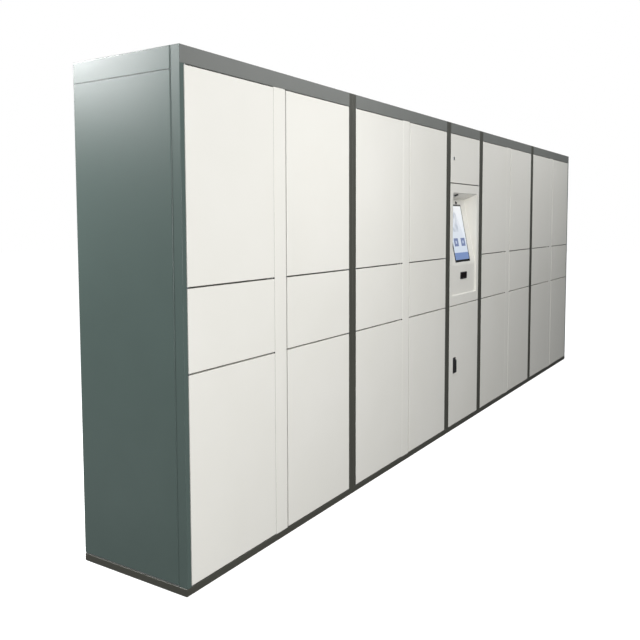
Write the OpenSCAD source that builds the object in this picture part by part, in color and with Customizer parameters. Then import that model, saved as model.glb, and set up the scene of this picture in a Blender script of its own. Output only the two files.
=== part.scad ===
// Parcel locker bank: four locker modules around a terminal module.
// X runs to the right seen from the front, Y to the back, Z up. Millimetres.
// The origin is at the middle of the bank's box, on the floor.

/* [Bank] */
// Width of one locker module
module_w = 1315; // [1050:5:1600]
// Width of the terminal module
terminal_w = 630; // [560:5:760]
// Height of the bank, without the cable gland
case_h = 2100; // [1900:10:2520]
// Depth of the bank, from the door faces to the back panels
case_d = 580; // [440:10:700]

/* [Front frame] */
// Height of the header fascia
header_h = 68; // [50:1:100]
// Height of the plinth rail's top above the floor
plinth_h = 34; // [26:1:90]
// Width of the post at each end of the bank
end_post_w = 27; // [24:1:60]
// Width of each of the two posts where modules meet
joint_post_w = 35; // [24:1:60]
// Width of the light strip between a module's two columns
strip_w = 94; // [70:1:160]
// Set-in of the corner posts behind the end panels
panel_step = 3; // [2:0.5:8]
// Length of the corner posts' return along the side
corner_return = 44; // [30:1:80]
// Height of the end bands at the top of both sides
end_band_h = 86; // [60:1:140]

/* [Doors] */
// Height of the bottom doors
bottom_door_h = 826.5; // [500:0.5:1000]
// Height of the middle doors
middle_door_h = 327; // [200:1:500]
// Thickness of every door
door_t = 18; // [15:1:28]
// Gap between doors above each other
gap_v = 5; // [5:0.5:8]
// Gap at the sides of a door
gap_h = 2.5; // [2.5:0.5:5]
// Lap of the door stops behind a door's edge
stop_lap = 11; // [11:1:16]

/* [Hinges and locks] */
// Radius of the hinge pins
pin_r = 3; // [2:0.5:3]
// Running clearance around the hinge pins
pin_clear = 0.15; // [0.1:0.05:0.25]
// Reach of a hinge pin into a door
pin_reach = 12; // [8:1:20]
// Thickness of the hinge lugs
lug_t = 3; // [2:0.5:3]
// Lap of the doors over the lock channel
lock_lap = 30; // [30:1:45]
// Length of the lock hooks behind the doors
hook_len = 27; // [18:1:34]

/* [Terminal] */
// Height of the kiosk panel
kiosk_h = 830; // [780:1:1000]
// Width of the kiosk panel beside its recess
cheek_w = 46.5; // [40:0.5:80]
// Height of the sill below the recess
sill_h = 67; // [40:1:100]
// Height of the kiosk panel above the recess
brow_h = 60; // [40:1:100]
// Depth of the recess below the screen
recess_d = 10; // [8:1:60]
// Lean of the screen wall, in degrees
lean = 11; // [0:1:14]
// Height of the upright wall below the leaning one
knee_h = 205; // [160:1:230]
// Drop of the recess ceiling from front to back
ceiling_drop = 38; // [10:1:60]
// Width of the recess wall beside the screen
screen_margin = 90; // [50:1:110]
// Length of the recess wall above the screen
camera_band = 38; // [30:1:60]
// Width of the scanner window
scanner_w = 116; // [60:2:200]
// Height of the scanner window
scanner_h = 48; // [30:1:70]
// Height of the handle plate
handle_h = 110; // [90:1:160]
// Width of the handle plate
handle_w = 45; // [36:1:60]

/* [Sheet metal] */
// Sheet thickness of the case
case_sheet = 1.5; // [1:0.5:2]
// Sheet thickness of the doors
door_sheet = 1.2; // [0.8:0.1:1.5]

/* [Hidden] */
$fn = 48;
CASE = "#5f6b6a";
FRAME = "#4a4a44";
HEADER = "#6e7474";
WHITE = "#efeee9";
STEEL = "#a8acae";
BLACK = "#141517";
RUBBER = "#26272a";
INNER = "#b9bdbd";

// Names of the modules, columns and rows
MODULES = ["a", "b", "c", "d"];
SIDES = ["left", "right"];
ROWS = ["bottom", "middle", "top"];
function door_name(m, s, r) = str("door_", MODULES[m], "_", SIDES[s], "_", ROWS[r]);

// Small fits and gaps
seam = 0.5;            // gap between neighbouring sheets
seat = 0.1;            // gap between a fixed piece and the sheet that it is fixed to
panel_seam = 2;        // shadow line between the end panel, its band and its plinth
floor_gap = 4;         // plinth rails above the floor
stop_clear = 3;        // room between a door's back and the stops
buffer_clear = 0.3;    // room between a door's back and its buffers
floor_step = 14;       // compartment floor above the plinth's top
ceiling_step = 8;      // ceiling above the header's bottom

// Hinge pin places, from a door's hinge edge and its front face
pivot_x = 5.5;
pivot_y = 5;
boss = 12;             // side of the bearing blocks in the door corners
bore_depth = pin_reach + 2;

// Heights of the door stack
door_bottom_z = plinth_h + gap_v / 2;
level_1 = door_bottom_z + bottom_door_h + gap_v / 2;
level_2 = level_1 + middle_door_h + gap_v;
level_t = level_1 + kiosk_h + gap_v;
header_z = case_h - header_h;
door_top_z = header_z - gap_v / 2;
floor_z = plinth_h + floor_step;
ceiling_z = header_z + ceiling_step;
LOCKER_LEVELS = [level_1, level_2];
TERMINAL_LEVELS = [level_1, level_t];
ROW_Z = [door_bottom_z, level_1 + gap_v / 2, level_2 + gap_v / 2];
ROW_H = [bottom_door_h, middle_door_h, door_top_z - ROW_Z[2]];

// Depths, from the door faces
stop_y = door_t + stop_clear;
inner_y = stop_y + case_sheet;
back_y = case_d - case_sheet;

// Handle on the bottom service door
plate_t = 3;
lever_t = 9;
lever_w = 32;
lever_clear = 0.5;
spindle_r = 6;
cam_t = 3;
cam_w = 20;
cam_clear = 1.5;       // room between the cams and the stops
handle_x = 92;         // spindle, from the door's free edge
handle_z = 415.5;      // middle of the handle plate, from the door's bottom
lever_drop = 26;       // spindle above the middle of the plate
cam_lock_x = 56;       // lock, from the door's free edge
plug_r = 9;
collar_r = 12;
collar_t = 1.5;
cam_reach = 6;         // how far a turned cam goes behind the post's stop
handle_proud = plate_t + lever_clear + lever_t;

bank_w = 4 * module_w + terminal_w;
front_y = (handle_proud - case_d) / 2;

// Places of the modules: the terminal stands between the second and third locker module
terminal_x = 2 * module_w;
function module_x(m) = m * module_w + (m < 2 ? 0 : terminal_w);
function left_end(m) = m == 0;
function right_end(m) = m == 3;
function post_w(m, s) = (s == 0 ? left_end(m) : right_end(m)) ? end_post_w : joint_post_w;
function strip_x(m) = module_x(m) + (post_w(m, 0) + module_w - post_w(m, 1)) / 2;
function hinge_x(m, s) =
    s == 0 ? module_x(m) + post_w(m, 0) + gap_h : module_x(m) + module_w - post_w(m, 1) - gap_h;
function column_w(m) = (module_w - post_w(m, 0) - post_w(m, 1) - strip_w) / 2 - 2 * gap_h;
terminal_door_w = terminal_w - 2 * (joint_post_w + gap_h);

// Outer face of a module's side sheet, from the module's edge
end_sheet_x = panel_step + case_sheet;
joint_sheet_x = seam;
function sheet_x(is_end) = is_end ? end_sheet_x : joint_sheet_x;

module in_bank() { translate([-bank_w / 2, front_y, 0]) children(); }

// A column's own frame: X from the doors' hinge edge towards their free edge
module in_column(m, s) { translate([hinge_x(m, s), 0, 0]) mirror([s, 0, 0]) children(); }
module in_terminal() {
    translate([terminal_x + terminal_w - joint_post_w - gap_h, 0, 0]) mirror([1, 0, 0]) children();
}
module each_column() { for (m = [0:3], s = [0:1]) in_column(m, s) children(); }

// A box given by its lowest and highest corners
module block(lo, hi) { translate(lo) cube(hi - lo); }

// Round bar along Y from a point
module rod_y(p, r, len) { translate(p) rotate([-90, 0, 0]) cylinder(r = r, h = len); }

// ---- doors ----

// Hollow double-skinned leaf with a bearing block and a bore at both hinge corners
module leaf(w, h) {
    difference() {
        union() {
            difference() {
                cube([w, door_t, h]);
                block([door_sheet, door_sheet, door_sheet],
                      [w - door_sheet, door_t - door_sheet, h - door_sheet]);
            }
            for (z = [0, h - bore_depth - door_sheet])
                translate([0, 0, z]) cube([boss, boss, bore_depth + door_sheet]);
        }
        for (z = [-1, h - bore_depth])
            translate([pivot_x, pivot_y, z]) cylinder(r = pin_r + pin_clear, h = bore_depth + 1);
        liner_slots(w, h);
    }
}

// Slots with round ends in the inner skin, which drain and air the leaf
slot_w = 14;
slot_len = 90;
module liner_slots(w, h) {
    for (x = [w / 3, w * 2 / 3])
        for (e = [-1, 1])
            translate([x, door_t - door_sheet - 0.5, h / 2 + e * (h / 2 - slot_len)]) liner_slot();
}
module liner_slot() {
    block([-slot_w / 2, 0, -slot_len / 2 + slot_w / 2], [slot_w / 2, door_sheet + 1, slot_len / 2 - slot_w / 2]);
    for (e = [-1, 1])
        rod_y([0, 0, e * (slot_len - slot_w) / 2], slot_w / 2, door_sheet + 1);
}

// Steel hook on the back of a door, which enters the lock
hook_t = 3;
hook_h = 22;
hook_x = lock_lap / 2; // hook, from the door's free edge
hook_foot = [lock_lap - 10, 1.4, 44];
module lock_hook(w, h) {
    translate([w - hook_x, door_t + seat, h / 2]) {
        difference() {
            block([-hook_t / 2, 0, -hook_h / 2], [hook_t / 2, hook_len, hook_h / 2]);
            block([-hook_t, hook_len - 13, -5], [hook_t, hook_len - 5, 5]);
        }
        block([-hook_foot[0] / 2, 0, -hook_foot[2] / 2], [hook_foot[0] / 2, hook_foot[1], hook_foot[2] / 2]);
    }
}

module locker_door(m, s, r) {
    color(WHITE) in_bank() in_column(m, s) translate([0, 0, ROW_Z[r]]) {
        leaf(column_w(m), ROW_H[r]);
        lock_hook(column_w(m), ROW_H[r]);
    }
}

module service_door_top() {
    z = level_t + gap_v / 2;
    h = door_top_z - z;
    color(WHITE) in_bank() in_terminal() translate([0, 0, z]) difference() {
        leaf(terminal_door_w, h);
        rod_y([terminal_door_w - cam_lock_x, -1, h / 2], plug_r + pin_clear, door_t + 2);
    }
}

module service_door_bottom() {
    color(WHITE) in_bank() in_terminal() translate([0, 0, door_bottom_z]) difference() {
        leaf(terminal_door_w, bottom_door_h);
        rod_y([terminal_door_w - handle_x, -1, handle_z + lever_drop], spindle_r + pin_clear, door_t + 2);
    }
}

// ---- handle and cam lock ----

function cam_len(from_free_edge) = from_free_edge - stop_lap + cam_reach;
cam_y = stop_y + case_sheet + cam_clear;

module handle_plate() {
    color(BLACK) in_bank() in_terminal()
        translate([terminal_door_w - handle_x, -plate_t, door_bottom_z + handle_z]) difference() {
            block([-handle_w / 2, 0, -handle_h / 2], [handle_w / 2, plate_t - seat, handle_h / 2]);
            rod_y([0, -1, lever_drop], spindle_r + pin_clear, plate_t + 2);
        }
}

// Lever, spindle and cam turn together
module door_handle() {
    color(BLACK) in_bank() in_terminal()
        translate([terminal_door_w - handle_x, 0, door_bottom_z + handle_z + lever_drop]) {
            translate([0, -handle_proud, 0]) {
                rod_y([0, 0, 0], lever_w / 2, lever_t);
                block([-lever_w / 2, 0, -lever_drop - handle_h / 2 + 6], [lever_w / 2, lever_t, 0]);
            }
            rod_y([0, -handle_proud, 0], spindle_r, handle_proud + cam_y + cam_t);
            block([-cam_w / 2, cam_y, -cam_len(handle_x)], [cam_w / 2, cam_y + cam_t, cam_w / 2]);
        }
}

module cam_lock() {
    z = level_t + gap_v / 2;
    color(STEEL) in_bank() in_terminal()
        translate([terminal_door_w - cam_lock_x, 0, z + (door_top_z - z) / 2]) difference() {
            union() {
                rod_y([0, -collar_t - seat, 0], collar_r, collar_t);
                rod_y([0, -collar_t - seat, 0], plug_r, collar_t + seat + cam_y + cam_t);
                block([-plug_r, cam_y, -cam_len(cam_lock_x)], [plug_r, cam_y + cam_t, 0]);
            }
            block([-1, -collar_t - 1, -4.5], [1, 8, 4.5]);
        }
}

// ---- kiosk ----

recess_x = cheek_w;
recess_w = terminal_door_w - 2 * cheek_w;
recess_bottom = level_1 + gap_v / 2 + sill_h;
recess_top = level_1 + gap_v / 2 + kiosk_h - brow_h;
knee_z = recess_bottom + knee_h;
back_top_z = recess_top - ceiling_drop;
back_top_y = recess_d + (back_top_z - knee_z) * tan(lean);
wall = case_sheet;

module kiosk_panel() {
    z = level_1 + gap_v / 2;
    color(WHITE) in_bank() in_terminal() difference() {
        union() {
            difference() {
                translate([0, 0, z]) cube([terminal_door_w, door_t, kiosk_h]);
                block([door_sheet, door_sheet, z + door_sheet],
                      [terminal_door_w - door_sheet, door_t + 1, z + kiosk_h - door_sheet]);
            }
            for (b = [z, z + kiosk_h - bore_depth - door_sheet])
                translate([0, 0, b]) cube([boss, boss, bore_depth + door_sheet]);
        }
        for (b = [z - 1, z + kiosk_h - bore_depth])
            translate([pivot_x, pivot_y, b]) cylinder(r = pin_r + pin_clear, h = bore_depth + 1);
        block([recess_x, -1, recess_bottom], [recess_x + recess_w, door_sheet + 1, recess_top]);
    }
}

// Section of the recess, drawn in depth and height, and swept along X
module swept(points, x0, x1) {
    translate([x0, 0, 0]) rotate([90, 0, 90]) linear_extrude(height = x1 - x0) polygon(points);
}

// Frame of the leaning wall: X across, Y into the wall, Z up along it, from the knee
module on_lean() {
    translate([terminal_door_w / 2, recess_d, knee_z]) rotate([-lean, 0, 0]) children();
}
screen_rise = 20;      // bottom of the glass above the knee, along the wall
glass_t = 3;
glass_clear = 0.4;
glass_w = recess_w - 2 * screen_margin;
glass_h = (back_top_z - knee_z) / cos(lean) - screen_rise - camera_band;
camera_r = 7;
camera_rise = camera_r + 3;             // camera above the glass
camera_off = -60;      // camera, from the middle of the glass
scanner_proud = 5;     // scanner in front of the wall

module recess_liner() {
    outer = [[door_sheet, recess_bottom - wall], [recess_d + wall, recess_bottom - wall],
             [recess_d + wall, knee_z], [back_top_y + wall, back_top_z + wall],
             [door_sheet, recess_top + wall]];
    inner = [[0, recess_bottom], [recess_d, recess_bottom], [recess_d, knee_z],
             [back_top_y, back_top_z], [door_sheet, recess_top - door_sheet * ceiling_drop / back_top_y],
             [0, recess_top]];
    color(WHITE) in_bank() in_terminal() difference() {
        swept(outer, recess_x - wall, recess_x + recess_w + wall);
        swept(inner, recess_x, recess_x + recess_w);
        on_lean() {
            block([-glass_w / 2 - glass_clear, -10, screen_rise - glass_clear],
                  [glass_w / 2 + glass_clear, 10, screen_rise + glass_h + glass_clear]);
            rod_y([camera_off, -10, screen_rise + glass_h + camera_rise], camera_r + glass_clear, 20);
        }
        translate([terminal_door_w / 2, 0, scanner_z])
            block([-scanner_w / 2 - glass_clear, recess_d - 5, -glass_clear],
                  [scanner_w / 2 + glass_clear, recess_d + 5, scanner_h + glass_clear]);
    }
}
scanner_z = recess_bottom + 105;

module screen_glass() {
    color("#dfe9f2") in_bank() in_terminal() on_lean()
        block([-glass_w / 2, wall - glass_t, screen_rise], [glass_w / 2, wall, screen_rise + glass_h]);
}

screen_box = [glass_w + 24, 38, glass_h + 4];
module screen_module() {
    color(BLACK) in_bank() in_terminal() on_lean()
        translate([-screen_box[0] / 2, wall + seat, screen_rise - 2]) cube(screen_box);
}

module scanner_module() {
    color(BLACK) in_bank() in_terminal() translate([terminal_door_w / 2, recess_d, scanner_z]) {
        block([-scanner_w / 2, -scanner_proud, 0], [scanner_w / 2, wall + seat, scanner_h]);
        block([-scanner_w / 2 - 8, wall + seat, -8], [scanner_w / 2 + 8, wall + 45, scanner_h + 4]);
    }
}

module camera_module() {
    color(BLACK) in_bank() in_terminal() on_lean() {
        translate([camera_off, 0, screen_rise + glass_h]) {
            rod_y([0, -1.5, camera_rise], camera_r, 9);
            block([-16, 7.5, 4], [16, 22, 26]);
        }
    }
}

// ---- case ----

// Cladding of one end: a sheet with a fold at its front and back edges
module end_cladding(z0, z1) {
    y0 = corner_return + 1;
    block([0, y0, z0], [case_sheet, case_d, z1]);
    block([0, y0, z0], [panel_step + case_sheet, y0 + case_sheet, z1]);
    block([0, back_y, z0], [panel_step + case_sheet, case_d, z1]);
}

// Both ends of the bank, the right one mirrored
module both_ends() {
    children();
    translate([bank_w, 0, 0]) mirror([1, 0, 0]) children();
}

end_panel_z = plinth_h + 6;
end_band_z = case_h - end_band_h;
module end_panels() {
    color(CASE) in_bank() both_ends() end_cladding(end_panel_z, end_band_z - panel_seam);
}
module end_bands() {
    color(CASE) in_bank() both_ends() {
        end_cladding(end_band_z, case_h);
        block([0, corner_return + 1, case_h - case_sheet], [panel_step + case_sheet, case_d, case_h]);
    }
}

// Each module's span between its side sheets: place, width, left end, right end
SPANS = [[module_x(0), module_w, true, false], [module_x(1), module_w, false, false],
         [terminal_x, terminal_w, false, false],
         [module_x(2), module_w, false, false], [module_x(3), module_w, false, true]];
function span_x0(p) = p[0] + sheet_x(p[2]);
function span_x1(p) = p[0] + p[1] - sheet_x(p[3]);

bolt_r = 4;
bolt_hole_r = 4.25;
BOLT_Y = [45, case_d - 50];
BOLT_Z = [300, level_1 + 160, case_h - 300];
trunk = 40;
trunk_clear = 2;
trunk_y = 200;
trunk_z = ceiling_z + case_sheet;

module side_sheet(x0, is_end) {
    difference() {
        block([x0, inner_y, plinth_h], [x0 + case_sheet, back_y, case_h - case_sheet]);
        if (!is_end) {
            for (y = BOLT_Y, z = BOLT_Z)
                translate([x0 - 1, y, z]) rotate([0, 90, 0]) cylinder(r = bolt_hole_r, h = case_sheet + 2);
            block([x0 - 1, trunk_y - trunk_clear, trunk_z - trunk_clear],
                  [x0 + case_sheet + 1, trunk_y + trunk + trunk_clear, trunk_z + trunk + trunk_clear]);
        }
    }
}
module side_panels() {
    color(INNER) in_bank() for (p = SPANS) {
        side_sheet(span_x0(p), p[2]);
        side_sheet(span_x1(p) - case_sheet, p[3]);
    }
}

anchor_r = 5.5;
wall_anchor_z = case_h - 200;
wall_anchor_x = 150;   // wall anchors, from the module's edges
module back_panels() {
    color(INNER) in_bank() for (p = SPANS) difference() {
        block([span_x0(p), back_y, plinth_h], [span_x1(p), case_d, case_h]);
        for (x = [p[0] + wall_anchor_x, p[0] + p[1] - wall_anchor_x])
            rod_y([x, back_y - 1, wall_anchor_z], anchor_r, case_sheet + 2);
    }
}

gland_y = case_d - 80;
gland_thread_r = 10;
header_flange = stop_y - 1;
module roof_panels() {
    color(CASE) in_bank() difference() {
        for (p = SPANS)
            block([span_x0(p), header_flange, case_h - case_sheet], [span_x1(p), back_y, case_h]);
        translate([terminal_x + terminal_w / 2, gland_y, case_h - 10])
            cylinder(r = gland_thread_r + 0.2, h = 20);
    }
}

foot_in = 60;          // feet, from the module's edges and from front and back
anchor_in = 110;       // floor anchors, likewise
floor_anchor_r = 6;
function corners_of(p, d) =
    [for (x = [p[0] + d, p[0] + p[1] - d], y = [inner_y + d, back_y - d]) [x, y]];
module base_pans() {
    color(INNER) in_bank() for (p = SPANS) difference() {
        block([span_x0(p) + case_sheet, inner_y, floor_z - case_sheet],
              [span_x1(p) - case_sheet, back_y, floor_z]);
        for (c = corners_of(p, anchor_in))
            translate([c[0], c[1], floor_z - 5]) cylinder(r = floor_anchor_r, h = 10);
    }
}

// Open channel of folded sheet along X, its back open
module header_fascia(x0, x1) {
    block([x0, 0, header_z], [x1, case_sheet, case_h]);
    block([x0, 0, case_h - case_sheet], [x1, header_flange, case_h]);
    block([x0, 0, header_z], [x1, stop_y, header_z + case_sheet]);
}
module header_fascias() {
    color(HEADER) in_bank() difference() {
        for (p = SPANS) header_fascia(span_x0(p) + (p[2] ? seat : 0), span_x1(p) - (p[3] ? seat : 0));
        all_pins(seat / 2);
    }
}

module plinth_rails() {
    color(FRAME) in_bank() {
        difference() {
            for (p = SPANS) {
                x0 = p[2] ? 0 : span_x0(p);
                x1 = p[3] ? bank_w : span_x1(p);
                block([x0, 0, floor_gap], [x1, case_sheet, plinth_h]);
                block([x0, 0, plinth_h - case_sheet], [x1, stop_y, plinth_h]);
            }
            all_pins(seat / 2);
        }
        both_ends() {
            z1 = end_panel_z - panel_seam;
            block([0, stop_y + seam, floor_gap], [case_sheet, case_d, z1]);
            block([0, corner_return + 1, z1 - case_sheet], [panel_step + case_sheet, case_d, z1]);
        }
    }
}

// A post: front face and a return at each side
module joint_post(w) {
    block([seam / 2, 0, plinth_h], [w, case_sheet, header_z]);
    block([seam / 2, 0, plinth_h], [seam / 2 + case_sheet, stop_y, header_z]);
    block([w - case_sheet, 0, plinth_h], [w, stop_y, header_z]);
}
// A corner post, and beside it the flat return that closes the corner
module corner_post(w) {
    x0 = panel_step + case_sheet;
    block([x0 + seat, 0, plinth_h], [w, case_sheet, header_z]);
    block([w - case_sheet, 0, plinth_h], [w, stop_y, header_z]);
    block([panel_step, 0, plinth_h], [x0, corner_return, case_h]);
}
module front_posts() {
    color(FRAME) in_bank() {
        both_ends() corner_post(end_post_w);
        for (x = [module_w, terminal_x, terminal_x + terminal_w, terminal_x + terminal_w + module_w])
            translate([x, 0, 0]) {
                joint_post(joint_post_w);
                mirror([1, 0, 0]) joint_post(joint_post_w);
            }
    }
}

module divider_strips() {
    color(WHITE) in_bank() for (m = [0:3]) translate([strip_x(m) - strip_w / 2, 0, 0]) {
        block([0, 0, plinth_h], [strip_w, case_sheet, header_z]);
        block([0, 0, plinth_h], [case_sheet, stop_y, header_z]);
        block([strip_w - case_sheet, 0, plinth_h], [strip_w, stop_y, header_z]);
    }
}

// ---- behind the doors ----

// Inner face of the side sheet, in a column's frame
function wall_x(w, is_end) = -gap_h - w + sheet_x(is_end) + case_sheet;
function column_end(m, s) = s == 0 ? left_end(m) : right_end(m);

// Upright stop beside the hinges, and level stops at every shelf
module upright_stop(w, is_end) {
    block([wall_x(w, is_end) - case_sheet, stop_y, plinth_h], [stop_lap, inner_y, case_h - case_sheet]);
}
module level_stop(x1, z0, z1) { block([stop_lap + seam, stop_y, z0], [x1 - seam, inner_y, z1]); }
module level_stops(x1, levels) {
    reach = gap_v / 2 + stop_lap;
    level_stop(x1, plinth_h, floor_z);
    for (z = levels) level_stop(x1, z - reach, z + reach);
    level_stop(x1, header_z - reach, ceiling_z + case_sheet);
}
module door_stops() {
    color(FRAME) in_bank() {
        for (m = [0:3], s = [0:1]) in_column(m, s) {
            upright_stop(post_w(m, s), column_end(m, s));
            level_stops(column_w(m) - lock_lap - case_sheet, LOCKER_LEVELS);
        }
        in_terminal() {
            upright_stop(joint_post_w, false);
            translate([terminal_door_w, 0, 0]) mirror([1, 0, 0]) upright_stop(joint_post_w, false);
            level_stops(terminal_door_w - stop_lap, TERMINAL_LEVELS);
        }
    }
}

hook_slot = [7, 30];
module lock_faceplates() {
    color(STEEL) in_bank() for (m = [0:3], s = [0:1]) in_column(m, s) difference() {
        w = column_w(m);
        block([w - lock_lap - case_sheet, stop_y, plinth_h], [w + gap_h + 8, inner_y, case_h - case_sheet]);
        for (r = [0:2]) translate([w - hook_x, 0, ROW_Z[r] + ROW_H[r] / 2])
            block([-hook_slot[0] / 2, stop_y - 1, -hook_slot[1] / 2], [hook_slot[0] / 2, inner_y + 1, hook_slot[1] / 2]);
    }
}

module partition_walls() {
    color(INNER) in_bank() for (m = [0:3], s = [0:1]) in_column(m, s) {
        x1 = column_w(m) - lock_lap;
        block([x1 - case_sheet, inner_y, floor_z], [x1, back_y, ceiling_z + case_sheet]);
    }
}

module shelves() {
    color(INNER) in_bank() {
        for (m = [0:3], s = [0:1]) in_column(m, s) {
            x0 = wall_x(post_w(m, s), column_end(m, s));
            x1 = column_w(m) - lock_lap - case_sheet;
            for (z = LOCKER_LEVELS)
                block([x0, inner_y, z - case_sheet / 2], [x1, back_y, z + case_sheet / 2]);
            block([x0, inner_y, ceiling_z], [x1, back_y, ceiling_z + case_sheet]);
        }
        in_terminal() {
            x0 = wall_x(joint_post_w, false);
            x1 = terminal_door_w - x0;
            for (z = TERMINAL_LEVELS)
                block([x0, inner_y, z - case_sheet / 2], [x1, back_y, z + case_sheet / 2]);
            block([x0, inner_y, ceiling_z], [x1, back_y, ceiling_z + case_sheet]);
        }
    }
}

// ---- hinges ----

// Upright pin at the pivot between two heights
module pin(z0, z1, grow) { translate([pivot_x, pivot_y, z0]) cylinder(r = pin_r + grow, h = z1 - z0); }
pin_tail = 8;          // pin below the plinth's flange and above the header's
module column_pins(levels, grow) {
    pin(plinth_h - case_sheet - pin_tail, door_bottom_z + pin_reach, grow);
    for (z = levels) pin(z - gap_v / 2 - pin_reach, z + gap_v / 2 + pin_reach, grow);
    pin(door_top_z - pin_reach, header_z + case_sheet + pin_tail, grow);
}
module all_pins(grow) {
    each_column() column_pins(LOCKER_LEVELS, grow);
    in_terminal() column_pins(TERMINAL_LEVELS, grow);
}
module hinge_pins() { color(STEEL) in_bank() all_pins(0); }

module column_lugs(levels) {
    for (z = levels) block([0.5, 1.5, z - lug_t / 2], [2 * pivot_x - 0.5, stop_y, z + lug_t / 2]);
}
module hinge_lugs() {
    color(STEEL) in_bank() difference() {
        union() {
            each_column() column_lugs(LOCKER_LEVELS);
            in_terminal() column_lugs(TERMINAL_LEVELS);
        }
        all_pins(seat / 2);
    }
}

// ---- locks and electrics ----

lock_box = [lock_lap - 6, hook_len + 25, 86];
module lock_bodies() {
    color(BLACK) in_bank() for (m = [0:3], s = [0:1]) in_column(m, s) for (r = [0:2])
        translate([column_w(m) - hook_x, inner_y + seat, ROW_Z[r] + ROW_H[r] / 2]) difference() {
            translate([-lock_box[0] / 2, 0, -lock_box[2] / 2]) cube(lock_box);
            block([-hook_slot[0] / 2, -1, -hook_slot[1] / 2], [hook_slot[0] / 2, hook_len + 4, hook_slot[1] / 2]);
        }
}

buffer_r = 4;
buffer_in = 40;        // buffers, from a door's bottom and top edges
module buffers_for(w, x_in, z, h) {
    for (b = [z + buffer_in, z + h - buffer_in])
        rod_y([w - x_in, door_t + buffer_clear, b], buffer_r, stop_clear - buffer_clear);
}
module door_buffers() {
    color(RUBBER) in_bank() {
        for (m = [0:3], s = [0:1]) in_column(m, s) for (r = [0:2])
            buffers_for(column_w(m), hook_x, ROW_Z[r], ROW_H[r]);
        in_terminal() {
            for (b = [[door_bottom_z, bottom_door_h], [level_1 + gap_v / 2, kiosk_h],
                      [level_t + gap_v / 2, door_top_z - level_t - gap_v / 2]])
                buffers_for(terminal_door_w, stop_lap / 2, b[0], b[1]);
        }
    }
}

foot_r = 22;
foot_pad_h = 8;
foot_nut_h = 6;
stud_r = 5;
module levelling_feet() {
    color(STEEL) in_bank() for (p = SPANS) for (c = corners_of(p, foot_in)) translate([c[0], c[1], 0]) {
        cylinder(r = foot_r, h = foot_pad_h);
        cylinder(r = 9, h = foot_pad_h + foot_nut_h, $fn = 6);
        cylinder(r = stud_r, h = floor_z - case_sheet);
    }
}

bolt_head_r = 7;
bolt_head_h = 4;
nut_h = 6;
module joining_bolt() {
    grip = joint_sheet_x + case_sheet;
    rotate([0, 90, 0]) {
        translate([0, 0, -grip - bolt_head_h - seat]) cylinder(r = bolt_head_r, h = bolt_head_h);
        translate([0, 0, -grip - 2 * seat - 1]) cylinder(r = bolt_r, h = 2 * grip + nut_h + 1);
        translate([0, 0, grip + seat]) cylinder(r = bolt_head_r, h = nut_h, $fn = 6);
    }
}
module joining_bolts() {
    color(STEEL) in_bank()
        for (x = [module_w, terminal_x, terminal_x + terminal_w, terminal_x + terminal_w + module_w])
            for (y = BOLT_Y, z = BOLT_Z) translate([x, y, z]) joining_bolt();
}

computer = [240, 170, 50];
supply = [200, 110, 60];
box_back = 60;         // both boxes, from the back panel
module on_terminal_shelf(z, size) {
    translate([(terminal_door_w - size[0]) / 2, back_y - box_back - size[1], z + case_sheet / 2 + seat])
        cube(size);
}
module control_computer() { color(BLACK) in_bank() in_terminal() on_terminal_shelf(level_1, computer); }
module power_supply() { color(STEEL) in_bank() in_terminal() on_terminal_shelf(level_t, supply); }

board_box = [30, 90, 180];
board_z = 1450;
module lock_control_boards() {
    color("#2f6b3f") in_bank() for (m = [0:3]) in_column(m, 0)
        translate([column_w(m) - lock_lap + seat, 300, board_z]) cube(board_box);
}

drop_w = 28;           // side of the ducts that drop into the lock channels
duct_wall = 1.5;
trunk_in = 40;         // ends of the long duct, from the ends of the bank
module wiring_trunking() {
    x0 = span_x0(SPANS[0]) + trunk_in;
    x1 = span_x1(SPANS[4]) - trunk_in;
    y1 = trunk_y + (trunk - drop_w) / 2;
    z0 = floor_z + trunk_in;
    color("#8d9292") in_bank() difference() {
        union() {
            block([x0, trunk_y, trunk_z + seat], [x1, trunk_y + trunk, trunk_z + trunk]);
            for (m = [0:3]) translate([strip_x(m) - drop_w / 2, y1, z0])
                cube([drop_w, drop_w, trunk_z - z0 + 1]);
        }
        block([x0 - 1, trunk_y + duct_wall, trunk_z + seat + duct_wall],
              [x1 + 1, trunk_y + trunk - duct_wall, trunk_z + trunk - duct_wall]);
        for (m = [0:3]) translate([strip_x(m) - drop_w / 2 + duct_wall, y1 + duct_wall, z0 - 1])
            cube([drop_w - 2 * duct_wall, drop_w - 2 * duct_wall, trunk_z - z0 + 5]);
    }
}

gland_bore_r = 7;
module cable_gland() {
    color(BLACK) in_bank() translate([terminal_x + terminal_w / 2, gland_y, case_h]) difference() {
        union() {
            translate([0, 0, seat]) cylinder(r = 16, h = 6, $fn = 6);
            translate([0, 0, seat]) cylinder(r = 12.5, h = 20);
            translate([0, 0, -case_sheet - 8]) cylinder(r = gland_thread_r, h = 12);
            translate([0, 0, -case_sheet - 5 - seat]) cylinder(r = 15, h = 5, $fn = 6);
        }
        translate([0, 0, -20]) cylinder(r = gland_bore_r, h = 50);
    }
}

// ---- what is drawn ----

for (m = [0:3], s = [0:1], r = [0:2])
    locker_door(m, s, r);
service_door_top();
kiosk_panel();
service_door_bottom();
recess_liner();
screen_module();
screen_glass();
scanner_module();
camera_module();
handle_plate();
door_handle();
cam_lock();
end_panels();
end_bands();
side_panels();
back_panels();
roof_panels();
base_pans();
header_fascias();
plinth_rails();
front_posts();
divider_strips();
door_stops();
lock_faceplates();
partition_walls();
shelves();
hinge_lugs();
hinge_pins();
lock_bodies();
door_buffers();
levelling_feet();
joining_bolts();
control_computer();
power_supply();
lock_control_boards();
wiring_trunking();
cable_gland();
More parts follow.
